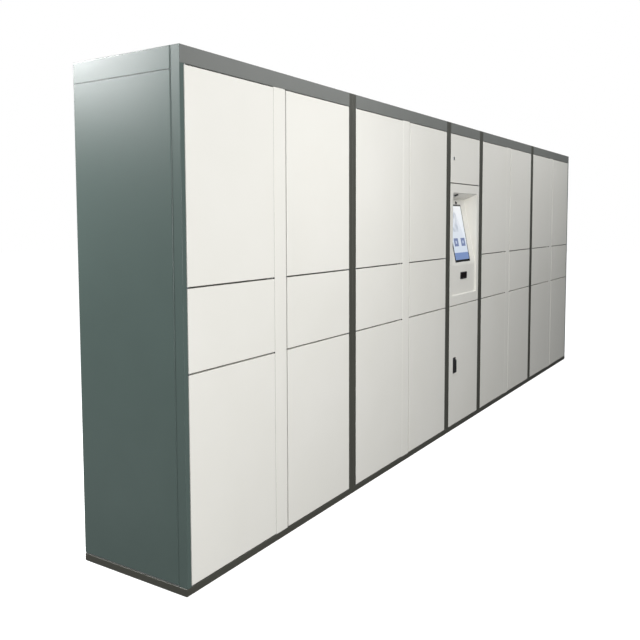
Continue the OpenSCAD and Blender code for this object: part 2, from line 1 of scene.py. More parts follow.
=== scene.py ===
# %% [markdown]
# # A bank of parcel lockers
# The real thing is a row of five steel cabinets: four locker modules with white doors and, between
# the second and the third, a terminal module with a touch screen. Everything that shows is folded
# sheet steel with a powder coat. The CAD model already gives each sub-part its place and its joint,
# so it is loaded first and nothing of it is moved. This file only builds what the eye needs on top:
# rounded folds, real sheet thickness, pressed fields, rivets, glass and the finishes.

# %% Load the frame
import bpy
import math
from mathutils import Matrix, Vector


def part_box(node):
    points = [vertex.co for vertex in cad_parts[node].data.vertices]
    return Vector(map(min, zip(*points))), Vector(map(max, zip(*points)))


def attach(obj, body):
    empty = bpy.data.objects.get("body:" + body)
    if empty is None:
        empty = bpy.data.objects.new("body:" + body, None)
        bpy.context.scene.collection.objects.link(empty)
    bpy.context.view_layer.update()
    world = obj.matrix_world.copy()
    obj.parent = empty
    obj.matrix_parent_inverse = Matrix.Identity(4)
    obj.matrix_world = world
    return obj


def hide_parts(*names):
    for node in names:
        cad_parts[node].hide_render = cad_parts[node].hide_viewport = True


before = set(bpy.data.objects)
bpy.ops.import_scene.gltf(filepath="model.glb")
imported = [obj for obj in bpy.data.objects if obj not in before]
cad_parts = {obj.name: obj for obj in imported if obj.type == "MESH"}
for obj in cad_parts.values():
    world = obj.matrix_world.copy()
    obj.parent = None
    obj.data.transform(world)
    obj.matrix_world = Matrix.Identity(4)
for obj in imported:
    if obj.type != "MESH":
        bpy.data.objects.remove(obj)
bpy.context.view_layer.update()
MM = 0.001

# %% [markdown]
# ## Where the camera stands
# The row is seen from beyond its left end, a little above eye height of the doors' middle. The lens
# is a normal one, and the picture is a part of a wider view, which the shift of the lens repeats.
# The camera is built first, so that each piece can be judged in the final picture from the start.

# %% Camera
CAMERA_FROM_LEFT_END = -2056.2 * MM      # to the left of the end panel
CAMERA_FROM_DOORS = -1857.8 * MM         # in front of the doors
CAMERA_HEIGHT = 1443.7 * MM
CAMERA_YAW = 0.9768                      # radians, from straight at the back panels to the right
CAMERA_PITCH = -0.0697
CAMERA_ROLL = -0.0059
LENS_MM = 41.43
SENSOR_MM = 36.0
SHIFT_RIGHT = 0.0528
SHIFT_DOWN = -0.0723

left_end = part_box("end_panels")[0].x
door_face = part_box("header_fascias")[0].y
forward = Vector((math.sin(CAMERA_YAW) * math.cos(CAMERA_PITCH),
                  math.cos(CAMERA_YAW) * math.cos(CAMERA_PITCH),
                  math.sin(CAMERA_PITCH)))
level_right = Vector((math.cos(CAMERA_YAW), -math.sin(CAMERA_YAW), 0))
level_up = level_right.cross(forward)
right = level_right * math.cos(CAMERA_ROLL) + level_up * math.sin(CAMERA_ROLL)
up = level_up * math.cos(CAMERA_ROLL) - level_right * math.sin(CAMERA_ROLL)

camera_data = bpy.data.cameras.new("camera")
camera_data.lens = LENS_MM
camera_data.sensor_width = SENSOR_MM
camera_data.shift_x = SHIFT_RIGHT
camera_data.shift_y = SHIFT_DOWN
camera_data.clip_end = 100
camera = bpy.data.objects.new("camera", camera_data)
camera.matrix_world = Matrix((
    (right.x, up.x, -forward.x, left_end + CAMERA_FROM_LEFT_END),
    (right.y, up.y, -forward.y, door_face + CAMERA_FROM_DOORS),
    (right.z, up.z, -forward.z, CAMERA_HEIGHT),
    (0, 0, 0, 1)))
bpy.context.scene.collection.objects.link(camera)
bpy.context.scene.camera = camera
bpy.context.scene.view_settings.view_transform = "Standard"
print("camera at", [round(value, 3) for value in camera.location])

# %% [markdown]
# ## Finishes and how they are built
# A finish is a tree of nodes. One small function adds a node, with its settings and its links, and
# every tree below is written with it. Colours are noted as sRGB hex values, as on a colour card, and
# one function turns them to the linear values that the renderer works with.

# %% Helpers for finishes
def linear(hex_colour):
    """The linear colour of an sRGB hex value."""
    channels = [int(hex_colour[i:i + 2], 16) / 255 for i in (1, 3, 5)]
    return [c / 12.92 if c <= 0.04045 else ((c + 0.055) / 1.055) ** 2.4 for c in channels] + [1]


def add_node(tree, kind, inputs, **settings):
    """Adds a node; an input is a value, a socket, or a node, which gives its first output."""
    node = tree.nodes.new(kind)
    for name, value in settings.items():
        setattr(node, name, value)
    for name, value in inputs.items():
        if isinstance(value, bpy.types.Node):
            value = value.outputs[0]
        if isinstance(value, bpy.types.NodeSocket):
            tree.links.new(value, node.inputs[name])
        else:
            node.inputs[name].default_value = value
    return node


def start_finish(name):
    """An empty material, its tree and the coordinates that its patterns follow."""
    material = bpy.data.materials.new(name)
    material.use_nodes = True
    material.node_tree.nodes.clear()
    tree = material.node_tree
    return material, tree, add_node(tree, "ShaderNodeTexCoord", {}).outputs["Object"]


def end_finish(tree, shader):
    add_node(tree, "ShaderNodeOutputMaterial", {"Surface": shader})


def two_shades(tree, pattern, light_hex, dark_hex, dullness, skin):
    """A surface whose shade and roughness follow a pattern; skin holds its other inputs."""
    colour = add_node(tree, "ShaderNodeMix",
                      {0: pattern, 6: linear(light_hex), 7: linear(dark_hex)},
                      data_type="RGBA")
    dull = add_node(tree, "ShaderNodeMapRange",
                    {"Value": pattern, "To Min": dullness[0], "To Max": dullness[1]})
    return add_node(tree, "ShaderNodeBsdfPrincipled",
                    {"Base Color": colour.outputs[2], "Roughness": dull} | skin)


# %% [markdown]
# ## Powder coat
# Polyester powder is sprayed on the folded sheet and baked. It flows into a closed skin of plastic
# with a faint ripple, called orange peel, a few millimetres from crest to crest. White doors have a
# smooth glossy coat; the case has a satin one with a fine sand in it. The ripple is a bump, and a
# broad noise makes the shade wander a little, as it does from sheet to sheet.

# %% Powder coats
COAT_IOR = 1.5
SHADE_PATCH = 450 * MM        # size of the cloudy patches of shade
SAND_GRAIN = 1.6 * MM


def powder_coat(name, light_hex, dark_hex, gloss, peel_mm, peel_depth_mm, sand=0.0, edge=None):
    """A coat between two near shades. gloss is the roughness of its smoothest and dullest spots.
    An edge is a depth and a colour of painted shade: all that lies in front of that depth has that
    colour."""
    material, tree, place = start_finish(name)
    cloud = add_node(tree, "ShaderNodeTexNoise",
                     {"Vector": place, "Scale": 1 / SHADE_PATCH, "Detail": 3.0, "Roughness": 0.55})
    peel = add_node(tree, "ShaderNodeTexNoise",
                    {"Vector": place, "Scale": 1 / (peel_mm * MM), "Detail": 1.0})
    grain = add_node(tree, "ShaderNodeTexNoise",
                     {"Vector": place, "Scale": 1 / SAND_GRAIN, "Detail": 2.0})
    speck = add_node(tree, "ShaderNodeMath", {0: grain, 1: sand}, operation="MULTIPLY")
    shade = add_node(tree, "ShaderNodeMath", {0: cloud, 1: speck}, operation="ADD")
    colour = add_node(tree, "ShaderNodeMix",
                      {0: shade, 6: linear(light_hex), 7: linear(dark_hex)},
                      data_type="RGBA")
    # The edge's colour is painted shade: a dark band in front of the given depth, so that narrow gaps
    # read as shadowed.
    if edge:
        parts = add_node(tree, "ShaderNodeSeparateXYZ", {0: place})
        in_painted_gap_shade = add_node(tree, "ShaderNodeMath", {0: parts.outputs[1], 1: edge[0]},
                           operation="LESS_THAN")
        colour = add_node(tree, "ShaderNodeMix",
                          {0: in_painted_gap_shade, 6: colour.outputs[2], 7: linear(edge[1])},
                          data_type="RGBA")
    dull = add_node(tree, "ShaderNodeMapRange",
                    {"Value": cloud, "From Min": 0.1, "From Max": 0.9,
                     "To Min": gloss[0], "To Max": gloss[1]})
    height = add_node(tree, "ShaderNodeMath", {0: peel, 1: speck}, operation="ADD")
    bump = add_node(tree, "ShaderNodeBump",
                    {"Height": height, "Distance": peel_depth_mm * MM, "Strength": 1.0})
    coat = add_node(tree, "ShaderNodeBsdfPrincipled",
                    {"Base Color": colour.outputs[2], "Roughness": dull,
                     "IOR": COAT_IOR, "Normal": bump})
    end_finish(tree, coat)
    return material


# Glossy polyester coat in warm white: clear soft reflections on a nearly smooth skin
white_coat = powder_coat("glossy_white_powder_coat", "#F3F1EB", "#EBE9E1", (0.20, 0.27), 9, 0.02)
# Satin coat in greenish grey on the end cladding: broad, soft highlights and a fine sand
case_coat = powder_coat("satin_grey_powder_coat", "#5A6965", "#4F5D59",
                        (0.27, 0.36), 7, 0.04, sand=0.25)
# The same powder in a mid grey on the header
header_coat = powder_coat("header_grey_powder_coat", "#7C7E7B", "#70726F",
                          (0.34, 0.44), 7, 0.04, sand=0.25)
# The same powder in dark olive grey on posts and plinth
frame_coat = powder_coat("dark_frame_powder_coat", "#4F4F47", "#43433D",
                         (0.36, 0.46), 7, 0.04, sand=0.25)
# Thin light grey coat inside the compartments, duller than the doors
INNER_COAT = ("#B9BDBC", "#ABAFAE", (0.42, 0.55), 7, 0.04, 0.2)
inner_coat = powder_coat("light_grey_inner_powder_coat", *INNER_COAT)
# The same coat on the shelves, with painted shade on their front hem, so that the gaps between doors
# read dark
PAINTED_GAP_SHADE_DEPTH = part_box("shelves")[0].y + 3 * MM
shelf_coat_with_painted_shade = powder_coat("inner_powder_coat_with_painted_gap_shade", *INNER_COAT,
                         edge=(PAINTED_GAP_SHADE_DEPTH, "#2E2E2B"))
coats = [white_coat, case_coat, header_coat, frame_coat, inner_coat, shelf_coat_with_painted_shade]
print("powder coats:", [coat.name for coat in coats])

# %% [markdown]
# ## Metals, plastics, rubber and boards
# Locks, pins, bolts and feet are zinc-plated steel: a soft metal shine with cloudy patches from the
# bath. Lock bodies and the computer are moulded ABS with a fine spark-eroded grain. Buffers are
# rubber, and so are the dark beads that paint the shade lines beside the strips; the ducts are
# extruded PVC, and the boards have green lacquer over copper.

# %% Zinc-plated steel
def plated_metal(name, light_hex, dark_hex, roughness, patch_mm):
    """A plated metal whose shade and roughness change from patch to patch."""
    material, tree, place = start_finish(name)
    patch = add_node(tree, "ShaderNodeTexNoise",
                     {"Vector": place, "Scale": 1 / (patch_mm * MM), "Detail": 4.0})
    scratch_place = add_node(tree, "ShaderNodeMapping",
                             {"Vector": place, "Scale": (1.0, 1.0, 0.04)})
    scratch = add_node(tree, "ShaderNodeTexNoise",
                       {"Vector": scratch_place, "Scale": 1 / (0.8 * MM), "Detail": 2.0})
    bump = add_node(tree, "ShaderNodeBump",
                    {"Height": scratch, "Distance": 0.01 * MM, "Strength": 0.6})
    metal = two_shades(tree, patch, light_hex, dark_hex,
                       (roughness - 0.08, roughness + 0.1),
                       {"Metallic": 1.0, "Normal": bump})
    end_finish(tree, metal)
    return material


# Bright zinc on steel: a cool grey metal, cloudy and half matt
zinc_plate = plated_metal("zinc_plated_steel", "#C9CDD0", "#A9AEB2", 0.34, 14)


# %% Plastics, rubber and board lacquer
def moulded(name, light_hex, dark_hex, roughness, grain_mm, grain_depth_mm, ior):
    """A moulded or extruded material with the grain of its tool."""
    material, tree, place = start_finish(name)
    cloud = add_node(tree, "ShaderNodeTexNoise",
                     {"Vector": place, "Scale": 1 / (60 * MM), "Detail": 2.0})
    grain = add_node(tree, "ShaderNodeTexVoronoi", {"Vector": place, "Scale": 1 / (grain_mm * MM)})
    bump = add_node(tree, "ShaderNodeBump",
                    {"Height": grain, "Distance": grain_depth_mm * MM, "Strength": 0.5})
    plastic = two_shades(tree, cloud, light_hex, dark_hex,
                         (roughness - 0.06, roughness + 0.06),
                         {"IOR": ior, "Normal": bump})
    end_finish(tree, plastic)
    return material


# Moulded ABS in black: half matt, with a grain of about a millimetre
black_abs = moulded("moulded_black_abs", "#1B1C1E", "#121315", 0.42, 1.2, 0.05, 1.54)
# Moulded rubber of the buffers, and of the dark beads that paint the shade lines beside the strips:
# matt, and slightly brown where it wears
buffer_and_shade_bead_rubber = moulded("moulded_rubber", "#26262A", "#1D1C1C", 0.78, 2.0, 0.06, 1.52)
# Extruded PVC duct: light grey, half gloss
duct_pvc = moulded("extruded_pvc_duct", "#9DA3A3", "#8F9595", 0.38, 4.0, 0.02, 1.53)


# %% Circuit boards under lacquer
def board_lacquer():
    """Green solder lacquer over copper: darker lanes run across at the pitch of the terminals."""
    material, tree, place = start_finish("green_board_lacquer")
    lanes = add_node(tree, "ShaderNodeTexWave",
                     {"Vector": place, "Scale": 1 / (31 * MM), "Distortion": 1.5, "Detail": 2.0},
                     bands_direction="Z")
    colour = add_node(tree, "ShaderNodeMix",
                      {0: lanes.outputs[1], 6: linear("#1E6A3C"), 7: linear("#124A2A")},
                      data_type="RGBA")
    bump = add_node(tree, "ShaderNodeBump",
                    {"Height": lanes.outputs[1], "Distance": 0.05 * MM, "Strength": 0.5})
    lacquer = add_node(tree, "ShaderNodeBsdfPrincipled",
                       {"Base Color": colour.outputs[2], "Roughness": 0.25, "IOR": 1.52,
                        "Normal": bump})
    end_finish(tree, lacquer)
    return material


green_lacquer = board_lacquer()
others = [zinc_plate, black_abs, buffer_and_shade_bead_rubber, duct_pvc, green_lacquer]
print("other finishes:", [finish.name for finish in others])

# %% [markdown]
# ## Working with sheet metal in Blender
# A folded sheet starts as a cube of its outer size. The faces where the sheet is open are deleted,
# the folds are bevelled to the radius that a press brake leaves, and a Solidify modifier gives the
# skin its thickness inwards, so the outer size stays exactly that of the CAD model. Operators act on
# everything that is selected, so each helper first clears the selection.

# %% Helpers for modelling
CLOSE = 0.05 * MM


def clear():
    """Leaves edit mode and deselects everything."""
    if bpy.context.mode != "OBJECT":
        bpy.ops.object.mode_set(mode="OBJECT")
    bpy.ops.object.select_all(action="DESELECT")


def only(piece):
    """Makes one object the active one and the only one selected."""
    clear()
    piece.select_set(True)
    bpy.context.view_layer.objects.active = piece


def settle(piece, name):
    """Puts an object's place into its mesh and names both."""
    only(piece)
    bpy.ops.object.transform_apply(location=True, rotation=True, scale=True)
    piece.name = name
    piece.data.name = name
    return piece


def block(name, low, high, turn=(0, 0, 0), about=(0, 0, 0)):
    """A cube between two corners, turned about a point."""
    middle = (Vector(low) + Vector(high)) / 2
    clear()
    bpy.ops.mesh.primitive_cube_add(size=1)
    piece = bpy.context.object
    piece.scale = Vector(high) - Vector(low)
    piece.location = middle
    settle(piece, name)
    piece.rotation_euler = turn
    piece.location = about
    return settle(piece, name)


def slab(name, x, z, width, height, front, back):
    """A cube between two depths, about a line that runs from front to back."""
    return block(name, (x - width / 2, front, z - height / 2),
                 (x + width / 2, back, z + height / 2))


def rod(name, start, radius, length, axis="Y", sides=32):
    """A cylinder from a point along an axis of the bank."""
    turn = {"X": (0, math.pi / 2, 0), "Y": (math.pi / 2, 0, 0), "Z": (0, 0, 0)}[axis]
    step = {"X": (1, 0, 0), "Y": (0, 1, 0), "Z": (0, 0, 1)}[axis]
    clear()
    bpy.ops.mesh.primitive_cylinder_add(vertices=sides, radius=radius, depth=abs(length),
                                        location=Vector(start) + Vector(step) * length / 2,
                                        rotation=turn)
    return settle(bpy.context.object, name)


def pick(piece, kind, test):
    """In edit mode, selects the faces, edges or vertices that pass a test by place and direction."""
    only(piece)
    bpy.ops.object.mode_set(mode="EDIT")
    bpy.ops.mesh.select_mode(type=kind)
    bpy.ops.mesh.select_all(action="DESELECT")
    bpy.ops.object.mode_set(mode="OBJECT")
    mesh = piece.data
    if kind == "FACE":
        for face in mesh.polygons:
            face.select = test(face.center, face.normal)
    elif kind == "EDGE":
        for edge in mesh.edges:
            one, two = [mesh.vertices[i].co for i in edge.vertices]
            edge.select = test((one + two) / 2, (two - one).normalized())
    else:
        for vertex in mesh.vertices:
            vertex.select = test(vertex.co, None)
    bpy.ops.object.mode_set(mode="EDIT")


def runs_back(middle, along):
    """Passes the edges that run from front to back."""
    return abs(along.y) > 0.9


def round_edges(piece, radius, segments, test=lambda middle, along: True):
    """Bevels the edges that pass a test, or all of them."""
    pick(piece, "EDGE", test)
    bpy.ops.mesh.bevel(offset=radius, segments=segments, affect="EDGES")


def dish(piece, facing, rim, slope_w, depth):
    """Sinks the middle of the face on one side, inside a flat rim and a narrow slope."""
    pick(piece, "FACE", lambda middle, normal: normal.dot(Vector(facing)) > 0.9)
    bpy.ops.mesh.inset(thickness=rim, depth=0)
    bpy.ops.mesh.inset(thickness=slope_w, depth=-depth)


def modify(piece, kind, **settings):
    """Adds a modifier with its settings and applies it."""
    only(piece)
    modifier = piece.modifiers.new(kind.lower(), kind)
    for name, value in settings.items():
        setattr(modifier, name, value)
    bpy.ops.object.modifier_apply(modifier=modifier.name)


def give_wall(piece, thickness):
    modify(piece, "SOLIDIFY", thickness=thickness, offset=-1, use_even_offset=True)


def smooth(piece, degrees=35):
    only(piece)
    bpy.ops.object.shade_smooth_by_angle(angle=math.radians(degrees))
    modify(piece, "WEIGHTED_NORMAL", weight=100, keep_sharp=True)


def join(name, pieces):
    only(pieces[0])
    for piece in pieces[1:]:
        piece.select_set(True)
    if len(pieces) > 1:
        bpy.ops.object.join()
    return settle(pieces[0], name)


def cut(piece, cutter):
    """Takes a cutter out of a piece and removes the cutter."""
    clear()
    modify(piece, "BOOLEAN", operation="DIFFERENCE", solver="EXACT", object=cutter)
    bpy.data.objects.remove(cutter)


def copy_to(original, name, shift):
    """A copy with its own mesh, moved by a shift."""
    piece = original.copy()
    piece.data = original.data.copy()
    piece.name = name
    piece.data.name = name
    piece.data.transform(Matrix.Translation(shift))
    bpy.context.scene.collection.objects.link(piece)
    return piece


def fit(piece, body, slot, finish, *nodes):
    """Gives a piece its finish and its body, and hides the CAD nodes that it stands for; slot is not
    used.
    """
    clear()
    piece.data.materials.clear()
    piece.data.materials.append(finish)
    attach(piece, body)
    if nodes:
        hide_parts(*nodes)


def folded_sheet(name, low, high, sides, wall, radius):
    """A sheet folded round the named sides of a box, with rounded folds and its wall inwards."""
    kept = [Vector(side) for side in sides]
    piece = block(name, low, high)
    pick(piece, "FACE", lambda middle, normal: all(normal.dot(side) < 0.9 for side in kept))
    bpy.ops.mesh.delete(type="FACE")
    round_folds(piece, radius)
    give_wall(piece, wall)
    smooth(piece)
    return piece


def round_folds(piece, radius):
    """Bevels every edge where two sides of a sheet meet at an angle."""
    only(piece)
    bpy.ops.object.mode_set(mode="EDIT")
    bpy.ops.mesh.select_mode(type="EDGE")
    bpy.ops.mesh.select_all(action="DESELECT")
    bpy.ops.mesh.edges_select_sharp(sharpness=math.radians(4))
    bpy.ops.mesh.bevel(offset=radius, segments=3, affect="EDGES")


FRONT, BACK = (0, -1, 0), (0, 1, 0)
LEFT, RIGHT = (-1, 0, 0), (1, 0, 0)
TOP, BOTTOM = (0, 0, 1), (0, 0, -1)
print("modelling helpers ready")

# %% [markdown]
# ## Sizes that every piece shares
# The CAD model tells where its sub-parts are, and these few sizes are the ones it was drawn from.
# The modules stand side by side from the left end, with the terminal in the middle.

# %% Shared sizes
MODULE_W = 1315 * MM
TERMINAL_W = 630 * MM
CASE_SHEET = 1.5 * MM
DOOR_SHEET = 1.2 * MM
FOLD_R = 2.2 * MM
POST_W = 35 * MM
END_POST_W = 27 * MM
STEP_IN = 3 * MM              # corner posts, set in behind the end panels
FLANGE = 21 * MM              # depth of the posts' returns
HALF_SEAM = 0.25 * MM
FIT = 0.1 * MM

right_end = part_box("end_panels")[1].x
header_low, header_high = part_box("header_fascias")
header_z = header_low.z
plinth_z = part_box("front_posts")[0].z
case_top = header_high.z
widths = [MODULE_W, MODULE_W, TERMINAL_W, MODULE_W, MODULE_W]
module_x = [left_end + sum(widths[:i]) for i in range(6)]
print("module edges in mm:", [round(x / MM, 1) for x in module_x])

# %% [markdown]
# ## Posts, strips, header and plinth
# The front frame is all channel: a flat face with a return at each side, folded from 1.5 mm sheet.
# Each module brings its own post, so two stand side by side at every joint with a fine seam between
# them, and they run up through the header. One post is modelled and copied to the eight places; the
# strips are the same idea, wider.

# %% Joint posts
joint_posts = []
first_x = module_x[1] + HALF_SEAM
first = folded_sheet("joint_post_0", (first_x, door_face, plinth_z),
                     (first_x + POST_W - HALF_SEAM, door_face + FLANGE, case_top),
                     [FRONT, LEFT, RIGHT, TOP], CASE_SHEET, FOLD_R)
joint_posts.append(first)
for edge in module_x[1:5]:
    for side_shift in (0, -(POST_W + HALF_SEAM)):
        shift = edge - module_x[1] + side_shift
        if shift:
            joint_posts.append(copy_to(first, f"joint_post_{len(joint_posts)}", (shift, 0, 0)))
for post in joint_posts:
    fit(post, "root", "frame_paint", frame_coat)
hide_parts("front_posts")
print("joint posts:", len(joint_posts))

# %% [markdown]
# ## Corner posts
# At each end the post turns the corner and runs back along the side, where it stands a little behind
# the end panel. It is one sheet, folded twice. The part above the header's lower edge keeps only its
# side wall, because the header fascia closes the front there. So the cube is cut at that height
# before its unwanted faces go, and the inner return is then pushed forward to its own depth.

# %% Corner posts
CORNER_RETURN = 44 * MM


def corner_post(name, at_left):
    edge = left_end if at_left else right_end
    inward = 1 if at_left else -1
    outer, inner = edge + inward * STEP_IN, edge + inward * END_POST_W
    inner_side = Vector((inward, 0, 0))
    piece = block(name, (min(outer, inner), door_face, plinth_z),
                  (max(outer, inner), door_face + CORNER_RETURN, case_top))
    pick(piece, "FACE", lambda middle, normal: True)
    bpy.ops.mesh.bisect(plane_co=(0, 0, header_z), plane_no=TOP)
    pick(piece, "FACE", lambda middle, normal: abs(normal.z) > 0.9 or normal.y > 0.9
         or (middle.z > header_z and normal.dot(inner_side) > -0.9))
    bpy.ops.mesh.delete(type="FACE")
    pick(piece, "VERT", lambda spot, _: abs(spot.x - inner) < CLOSE
         and spot.y > door_face + CORNER_RETURN - CLOSE)
    bpy.ops.transform.translate(value=(0, FLANGE - CORNER_RETURN, 0))
    round_folds(piece, FOLD_R)
    give_wall(piece, CASE_SHEET)
    smooth(piece)
    return piece


for at_left in (True, False):
    post = corner_post("corner_post_left" if at_left else "corner_post_right", at_left)
    fit(post, "root", "case_paint", case_coat)
print("corner posts: 2, return", CORNER_RETURN / MM, "mm")

# %% Strips between the columns
STRIP_W = 94 * MM
STRIP_TRIM = 2 * MM           # widens the shadow lines beside a strip
STRIP_SET_IN = 2 * MM         # and sets it a little behind the doors
strip_low, strip_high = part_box("divider_strips")
strip_a = folded_sheet("divider_strip_a", strip_low + Vector((STRIP_TRIM, STRIP_SET_IN, 0)),
                       (strip_low.x + STRIP_W - STRIP_TRIM, strip_high.y, strip_high.z),
                       [FRONT, LEFT, RIGHT], CASE_SHEET, FOLD_R)
strips = [strip_a]
post_difference = (POST_W - END_POST_W) / 2
strip_shifts = [MODULE_W + post_difference, 2 * MODULE_W + TERMINAL_W + post_difference,
                strip_high.x - STRIP_W - strip_low.x]
for letter, shift in zip("bcd", strip_shifts):
    strips.append(copy_to(strip_a, f"divider_strip_{letter}", (shift, 0, 0)))
for strip in strips:
    fit(strip, "root", "door_paint", white_coat)
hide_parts("divider_strips")
print("divider strips:", len(strips))

# %% Dark beads that paint the shade lines beside the strips
# A dark rubber bead along each side of a strip is painted shade: it stands in for the shadow line
# beside the doors.
BEAD = 2.6 * MM
bead_y = strip_low.y + STRIP_SET_IN + FOLD_R - FIT
bead_a = block("shade_line_bead_0", (strip_low.x + STRIP_TRIM - BEAD, bead_y, strip_low.z + BEAD),
               (strip_low.x + STRIP_TRIM - FIT, bead_y + 2 * BEAD, strip_high.z - BEAD))
round_edges(bead_a, 0.5 * MM, 2, lambda middle, along: abs(along.z) > 0.9)
smooth(bead_a)
beads = [bead_a]
for i, shift in enumerate([0] + strip_shifts):
    for across in (0, STRIP_W - 2 * STRIP_TRIM + BEAD + FIT):
        if shift + across:
            beads.append(copy_to(bead_a, f"shade_line_bead_{2 * i + bool(across)}",
                                 (shift + across, 0, 0)))
for bead in beads:
    fit(bead, "root", "rubber", buffer_and_shade_bead_rubber)
print("shade line beads:", len(beads))

# %% [markdown]
# ## Header, plinth and end cladding
# The header is a channel, open to the back, with one length per module between the posts, which
# run up through it. At both ends it closes the front over the corner post. The plinth rail is an
# angle that closes the gap under the doors. Each end of the bank is clad in a large flat sheet with
# a narrow fold at its front and back edge, under a band of the same make; the fold's rounded edge
# is what catches the light at the corner.

# %% Header fascias and plinth rails
plinth_low, plinth_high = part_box("plinth_rails")
FOLD_TOP = 20 * MM
END_STEP = STEP_IN + CASE_SHEET
SEAM = 0.5 * MM
header_pieces, plinth_pieces = [], []


def span(i, gap):
    """Where a sheet of one module begins and ends; at the bank's ends the cladding stops it."""
    x0 = module_x[i] + (END_STEP + FIT if i == 0 else gap)
    x1 = module_x[i + 1] - (END_STEP + FIT if i == 4 else gap)
    return x0, x1


for i, letter in enumerate("abtcd"):
    x0, x1 = span(i, POST_W + SEAM)
    header = folded_sheet(f"header_fascia_{letter}", (x0, door_face, header_z),
                          (x1, door_face + FOLD_TOP, case_top), [FRONT, TOP, BOTTOM],
                          CASE_SHEET, FOLD_R)
    fit(header, "root", "header_paint", header_coat)
    header_pieces.append(header)
    x0, x1 = span(i, SEAM)
    rail = folded_sheet(f"plinth_rail_{letter}", (x0, door_face, plinth_low.z),
                        (x1, door_face + FLANGE, plinth_z), [FRONT, TOP], CASE_SHEET, FOLD_R)
    fit(rail, "root", "frame_paint", frame_coat)
    plinth_pieces.append(rail)
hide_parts("header_fascias")
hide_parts("plinth_rails")
print("header fascias:", len(header_pieces), "plinth rails:", len(plinth_pieces))

# %% End panels, end bands and side plinths
panel_low, panel_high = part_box("end_panels")
band_low, band_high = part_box("end_bands")
cladding_y = door_face + CORNER_RETURN + 1 * MM
CLADDING_FOLD_R = 4 * MM
claddings = []
for at_left in (True, False):
    word = "left" if at_left else "right"
    outside = LEFT if at_left else RIGHT
    x0 = left_end if at_left else right_end - END_STEP
    x1 = x0 + END_STEP
    panel = folded_sheet(f"end_panel_{word}", (x0, cladding_y, panel_low.z),
                         (x1, panel_high.y, panel_high.z), [outside, FRONT, BACK],
                         CASE_SHEET, CLADDING_FOLD_R)
    band = folded_sheet(f"end_band_{word}", (x0, cladding_y, band_low.z),
                        (x1, band_high.y, band_high.z), [outside, FRONT, BACK, TOP],
                        CASE_SHEET, CLADDING_FOLD_R)
    side = folded_sheet(f"side_plinth_{word}", (x0, door_face, plinth_low.z),
                        (x1, plinth_high.y, plinth_z), [outside, FRONT, TOP, BACK],
                        CASE_SHEET, FOLD_R)
    fit(panel, "root", "case_paint", case_coat)
    fit(band, "root", "case_paint", case_coat)
    fit(side, "root", "frame_paint", frame_coat)
    claddings += [panel, band]
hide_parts("end_panels")
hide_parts("end_bands")
print("end cladding pieces:", len(claddings) + 2)

# %% [markdown]
# ## Doors
# A locker door is a box of 1.2 mm sheet, 18 mm thick: an outer pan with rounded folds and an inner
# liner with a pressed field that stiffens it. Four slots in the liner drain and air the box, and two
# holes at the hinge corners take the pins. The box is a cube with bevelled edges, hollowed by a
# Solidify modifier; then one cutter takes out slots and holes. Doors of one size and hand are made
# once and copied.

# %% Door leaf
DOOR_T = 18 * MM
DOOR_FOLD = 2.0 * MM
RIM = 16 * MM                 # flat rim of the liner
FIELD = 2.0 * MM              # depth of its pressed field
SLOT_W = 14 * MM
SLOT_LEN = 90 * MM
PIN_X = 5.5 * MM              # hinge pins, from the hinge edge
PIN_Y = 5 * MM                # and behind the door's face
BORE_R = 3.15 * MM
BORE_DEPTH = 14 * MM
PAST_EDGE = 1 * MM            # how far a bore's cutter starts outside the door
LEAF_TRIM = Vector((1.0 * MM, 0, 0.9 * MM))    # widens the shadow lines round a door


def slot_cutter(x, y, z):
    cutter = slab("slot_cutter", x, z, SLOT_W, SLOT_LEN, y - 6 * MM, y + 3 * MM)
    round_edges(cutter, SLOT_W / 2 - 0.1 * MM, 6, runs_back)
    return cutter


def pin_cutters(x, low, high):
    starts = (low - PAST_EDGE, high - BORE_DEPTH + PAST_EDGE)
    return [rod("bore", (x, door_face + PIN_Y, z), BORE_R, BORE_DEPTH, "Z", 24) for z in starts]


def door_leaf(name, low, high, hinge_at_left, holes=()):
    """A hollow door; holes are further cutters, such as for a handle's spindle."""
    pin_x = low.x + PIN_X if hinge_at_left else high.x - PIN_X
    low, high = low + LEAF_TRIM, high - LEAF_TRIM
    width, height = high.x - low.x, high.z - low.z
    back = low.y + DOOR_T
    leaf = block(name, low, (high.x, back, high.z))
    dish(leaf, BACK, RIM, 2 * FIELD, FIELD)
    round_edges(leaf, DOOR_FOLD, 3,
                lambda middle, along: middle.y < low.y + CLOSE or (abs(along.y) > 0.9
                and (abs(middle.x - low.x) < CLOSE or abs(middle.x - high.x) < CLOSE)))
    give_wall(leaf, DOOR_SHEET)
    cutters = list(holes)
    for share in (1 / 3, 2 / 3):
        for end in (-1, 1):
            cutters.append(slot_cutter(low.x + width * share, back,
                                       (low.z + high.z) / 2 + end * (height / 2 - SLOT_LEN)))
    cutters += pin_cutters(pin_x, low.z, high.z)
    cut(leaf, join("door_cutter", cutters))
    smooth(leaf)
    return leaf


made = {}
leaves = {}
for node in [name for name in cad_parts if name.startswith("door_") and name.count("_") == 3]:
    low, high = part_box(node)
    at_left = "_left_" in node
    kind = (round((high.x - low.x) / MM), round((high.z - low.z) / MM), at_left)
    name = node.replace("door_", "leaf_")
    if kind in made:
        first_low, first_leaf = made[kind]
        leaf = copy_to(first_leaf, name, low - first_low)
    else:
        leaf = door_leaf(name, low, high, at_left)
        made[kind] = (low, leaf)
    leaves[node] = leaf
for node, leaf in leaves.items():
    fit(leaf, node, "door_paint", white_coat, node)
print("door leaves:", len(leaves), "in", len(made), "kinds of",
      len(leaves["door_a_left_top"].data.polygons), "faces")

# %% [markdown]
# ## Lock hooks
# Behind each locker door's free edge a steel hook reaches into the lock. It is a stamped plate with
# a window for the lock's claw, welded to a foot that two rivets hold on the liner. It is modelled
# once, at the first door, and copied to the others.

